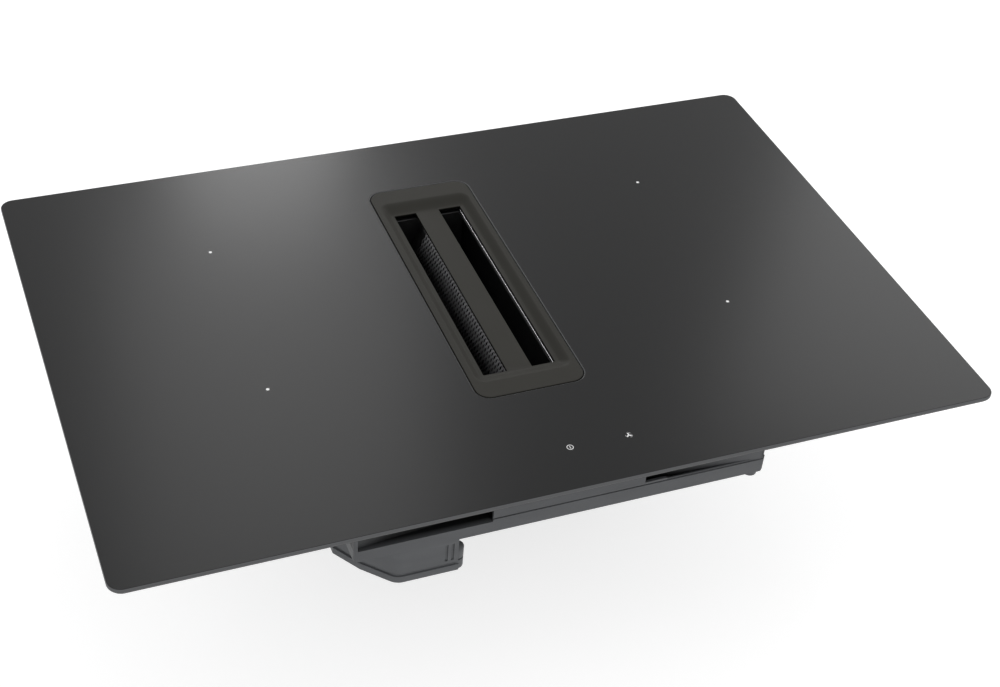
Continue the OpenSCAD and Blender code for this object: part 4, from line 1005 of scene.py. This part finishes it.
def rounded_copy(node, radius):
    """A copy of a CAD part whose edges sharper than SHARP are rounded."""
    source = frame["nodes"][node]
    obj = bpy.data.objects.new(f"{node}_body", source.data.copy())
    bpy.context.scene.collection.objects.link(obj)
    dress(obj, SLOT_OF[node])
    work = bmesh.new()
    work.from_mesh(obj.data)
    bmesh.ops.remove_doubles(work, verts=work.verts, dist=SAME_POINT)
    bmesh.ops.dissolve_limit(work, angle_limit=FLAT_ENOUGH, verts=work.verts, edges=work.edges)
    for face in work.faces:
        face.smooth = True
    work.to_mesh(obj.data)
    work.free()
    bevel = obj.modifiers.new("edges", "BEVEL")
    bevel.width, bevel.segments = radius, 2
    bevel.limit_method, bevel.angle_limit = "ANGLE", SHARP
    bevel.harden_normals = True
    bevel.miter_outer = "MITER_ARC"
    obj.data.set_sharp_from_angle(angle=SHARP)
    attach(obj, BODY_OF[node])
    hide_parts(node)
    return obj


ROUNDED = {
    "touch_housing": 0.8, "base_pan": 0.9, "connection_box": 1.0, "connection_lid": 1.2,
    "chamber_shell": 0.8, "volute_shell": 0.8, "outlet_spigot": 0.5, "inlet_duct": 0.5,
    "inlet_frame": 0.4, "filter_frame": 0.3, "drip_tray": 0.3, "coil_tray": 0.3,
    "filter_grip": 0.5, "pan_screws": 0.5, "housing_screws": 0.4, "spring_screws": 0.3,
}
rounded = {node: rounded_copy(node, radius * MM) for node, radius in ROUNDED.items()}
for made in rounded.values():
    print(made.name, len(made.data.polygons), "faces")

# %% [markdown]
# The second sunk band
#
# Right of its catch the beam's upper strip sinks in too. It is deepest at the catch and
# runs out towards the end of the beam. A Boolean takes a wedge from the pan's copy, which
# leaves all its other faces alone, and a thin slanted wall closes the hollow beam behind.

# %% Sunk band
pan_lo, pan_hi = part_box("base_pan")
beam_front, beam_top = pan_lo.y, pan_hi.z
BAND_START, BAND_END = pan_hi.x - 96.5 * MM, pan_hi.x - 4.0 * MM
BAND_DEEP, BAND_SHALLOW = 7.0 * MM, 0.6 * MM
BAND_LOW, BAND_WALL = -46.0 * MM, 2.0 * MM
CATCH_W = 22 * MM
PAST_FACE, INTO_WALL, UNDER_TOP_FACE = 1.0 * MM, 0.5 * MM, 0.2 * MM


def prism(plan, z0, z1):
    """A four-sided upright prism over a plan of four points, anticlockwise."""
    ring = np.asarray(plan)
    verts = np.concatenate([at_height(ring, z0), at_height(ring, z1)])
    sides = [[k, (k + 1) % 4, 4 + (k + 1) % 4, 4 + k] for k in range(4)]
    return verts, np.array(sides + [[3, 2, 1, 0], [4, 5, 6, 7]])


def cut(obj, cutter):
    """Takes the cutter's volume out of obj's own mesh, below its live modifiers."""
    live = list(obj.modifiers)
    for m in live:
        m.show_viewport = False
    knife = obj.modifiers.new("knife", "BOOLEAN")
    knife.operation, knife.solver, knife.object = "DIFFERENCE", "EXACT", cutter
    bpy.context.view_layer.update()
    shown = obj.evaluated_get(bpy.context.evaluated_depsgraph_get())
    done = bpy.data.meshes.new_from_object(shown)
    obj.modifiers.remove(knife)
    for m in live:
        m.show_viewport = True
    obj.data = done
    bpy.data.objects.remove(cutter)


plan = [(BAND_START, beam_front - PAST_FACE), (BAND_END, beam_front - PAST_FACE),
        (BAND_END, beam_front + BAND_SHALLOW), (BAND_START, beam_front + BAND_DEEP)]
wedge = bpy.data.meshes.new("wedge")
wedge_verts, wedge_quads = prism(plan, BAND_LOW, beam_top + PAST_FACE)
wedge.from_pydata(wedge_verts.tolist(), [], wedge_quads.tolist())
wedge_cutter = bpy.data.objects.new("wedge", wedge)
bpy.context.scene.collection.objects.link(wedge_cutter)
cut(rounded["base_pan"], wedge_cutter)

# %% Wall behind the band
catch_x = BAND_START - CATCH_W
shallow, deep = beam_front + BAND_SHALLOW, beam_front + BAND_DEEP + PAST_FACE
behind = [(BAND_END, shallow), (BAND_END, beam_front + BAND_WALL + INTO_WALL),
          (catch_x, deep + BAND_WALL), (catch_x, deep)]
wall_shape = prism(behind, BAND_LOW - BAND_WALL, beam_top - UNDER_TOP_FACE)
band_wall = make_mesh("beam_band_wall", *wall_shape, SLOT_OF["base_pan"], "root", 30)
merge(band_wall)
print("sunk band", round((BAND_END - BAND_START) / MM, 1), "mm long")

# %% [markdown]
# The studio
#
# The floor is pale and carries the object's shadow. To the camera, and in what metal
# and glass mirror, floor and world also glow a little, so that they come out white;
# as a light on the object they stay at a plain level. From below the floor is clear, so
# that the underside can be looked at. Satin glass shows lamps as broad soft gradients:
# two soft boxes behind the cooktop are the pale patch at its back left, one at the side
# brightens its right, and a weak one in front lifts the beam and the connection box.

# %% Floor and world
FLOOR_Z = cad_box[0].z
FLOOR_HALF = 9.0
FLOOR_GLOW, FLOOR_SHADE = 0.70, 0.52
WORLD_LIGHT = 0.75


def seen_directly(tree):
    """1 for rays from the camera and for rays that metal or glass sends on, else 0."""
    path = tree.nodes.new("ShaderNodeLightPath")
    total = path.outputs["Is Camera Ray"]
    for name in ("Is Glossy Ray", "Is Transmission Ray"):
        joined = tree.nodes.new("ShaderNodeMath")
        joined.operation = "MAXIMUM"
        tree.links.new(total, joined.inputs[0])
        tree.links.new(path.outputs[name], joined.inputs[1])
        total = joined.outputs[0]
    return total


def floor_finish():
    """A matte pale sheet that adds a glow for the rays that see it directly."""
    f = Finish("studio_floor")
    speck = f.noise(4 * MM, detail=3)
    f.done(Base_Color=f.mix(speck, grey(FLOOR_SHADE * 0.97), grey(FLOOR_SHADE)), Roughness=0.9,
           Specular_IOR_Level=0.0, Emission_Color=grey(1.0))
    f.plug(f.shader.inputs["Emission Strength"], Sock(f, seen_directly(f.tree)) * FLOOR_GLOW)
    clear = f.node("ShaderNodeBsdfTransparent").outputs[0]
    from_below = f.node("ShaderNodeNewGeometry").outputs["Backfacing"]
    either = f.node("ShaderNodeMixShader", None, from_below, f.shader.outputs[0], clear)
    f.tree.links.new(either.outputs[0], f.tree.nodes["Material Output"].inputs["Surface"])
    return f.material


plane = bpy.data.meshes.new("studio_floor")
ends = (-FLOOR_HALF, FLOOR_HALF)
plane.from_pydata([(x, y, FLOOR_Z) for y in ends for x in ends], [], [(0, 1, 3, 2)])
floor = bpy.data.objects.new("studio_floor", plane)
floor.data.materials.append(floor_finish())
bpy.context.scene.collection.objects.link(floor)
floor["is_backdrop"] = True

world = bpy.data.worlds.new("studio")
world.use_nodes = True
bpy.context.scene.world = world
backdrop = world.node_tree.nodes["Background"]
backdrop.inputs["Color"].default_value = (1, 1, 1, 1)
level = world.node_tree.nodes.new("ShaderNodeMapRange")
level.inputs["To Min"].default_value = WORLD_LIGHT
level.inputs["To Max"].default_value = 1.0
world.node_tree.links.new(seen_directly(world.node_tree), level.inputs["Value"])
world.node_tree.links.new(level.outputs[0], backdrop.inputs["Strength"])
print("floor at", round(FLOOR_Z, 4))


# %% Lights
def soft_light(name, place, size, power):
    """A rectangular soft box that faces the middle of the glass."""
    lamp = bpy.data.lights.new(name, "AREA")
    lamp.shape = "RECTANGLE"
    lamp.size, lamp.size_y = size
    lamp.energy = power
    box = bpy.data.objects.new(name, lamp)
    away = np.array(place) / np.linalg.norm(place)
    side = np.cross((0, 0, 1), away)
    side = side / np.linalg.norm(side)
    turned = np.stack([side, np.cross(away, side), away], axis=1)
    box.matrix_world = Matrix.Translation(place) @ Matrix(turned.tolist()).to_4x4()
    bpy.context.scene.collection.objects.link(box)
    return box


LIGHTS = {
    "low_key": ((0.40, 2.40, 1.10), (0.40, 0.90), 8.0),
    "high_key": ((0.45, 2.40, 2.40), (0.90, 1.30), 11.0),
    "side_key": ((2.75, 2.40, 2.30), (1.30, 1.60), 20.0),
    "front_fill": ((-0.80, -2.20, 0.60), (1.60, 1.00), 5.0),
}
for light_name, (place, size, power) in LIGHTS.items():
    soft_light(light_name, place, size, power)
print("lights:", ", ".join(LIGHTS))

# %% Work out the sizes and finish
shown_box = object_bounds()
boxes = {"cad": [list(map(float, corner)) for corner in cad_box],
         "visual": [list(map(float, corner)) for corner in shown_box]}
print("sizes", [round(1000 * (b - a), 1) for a, b in zip(*boxes["visual"])])
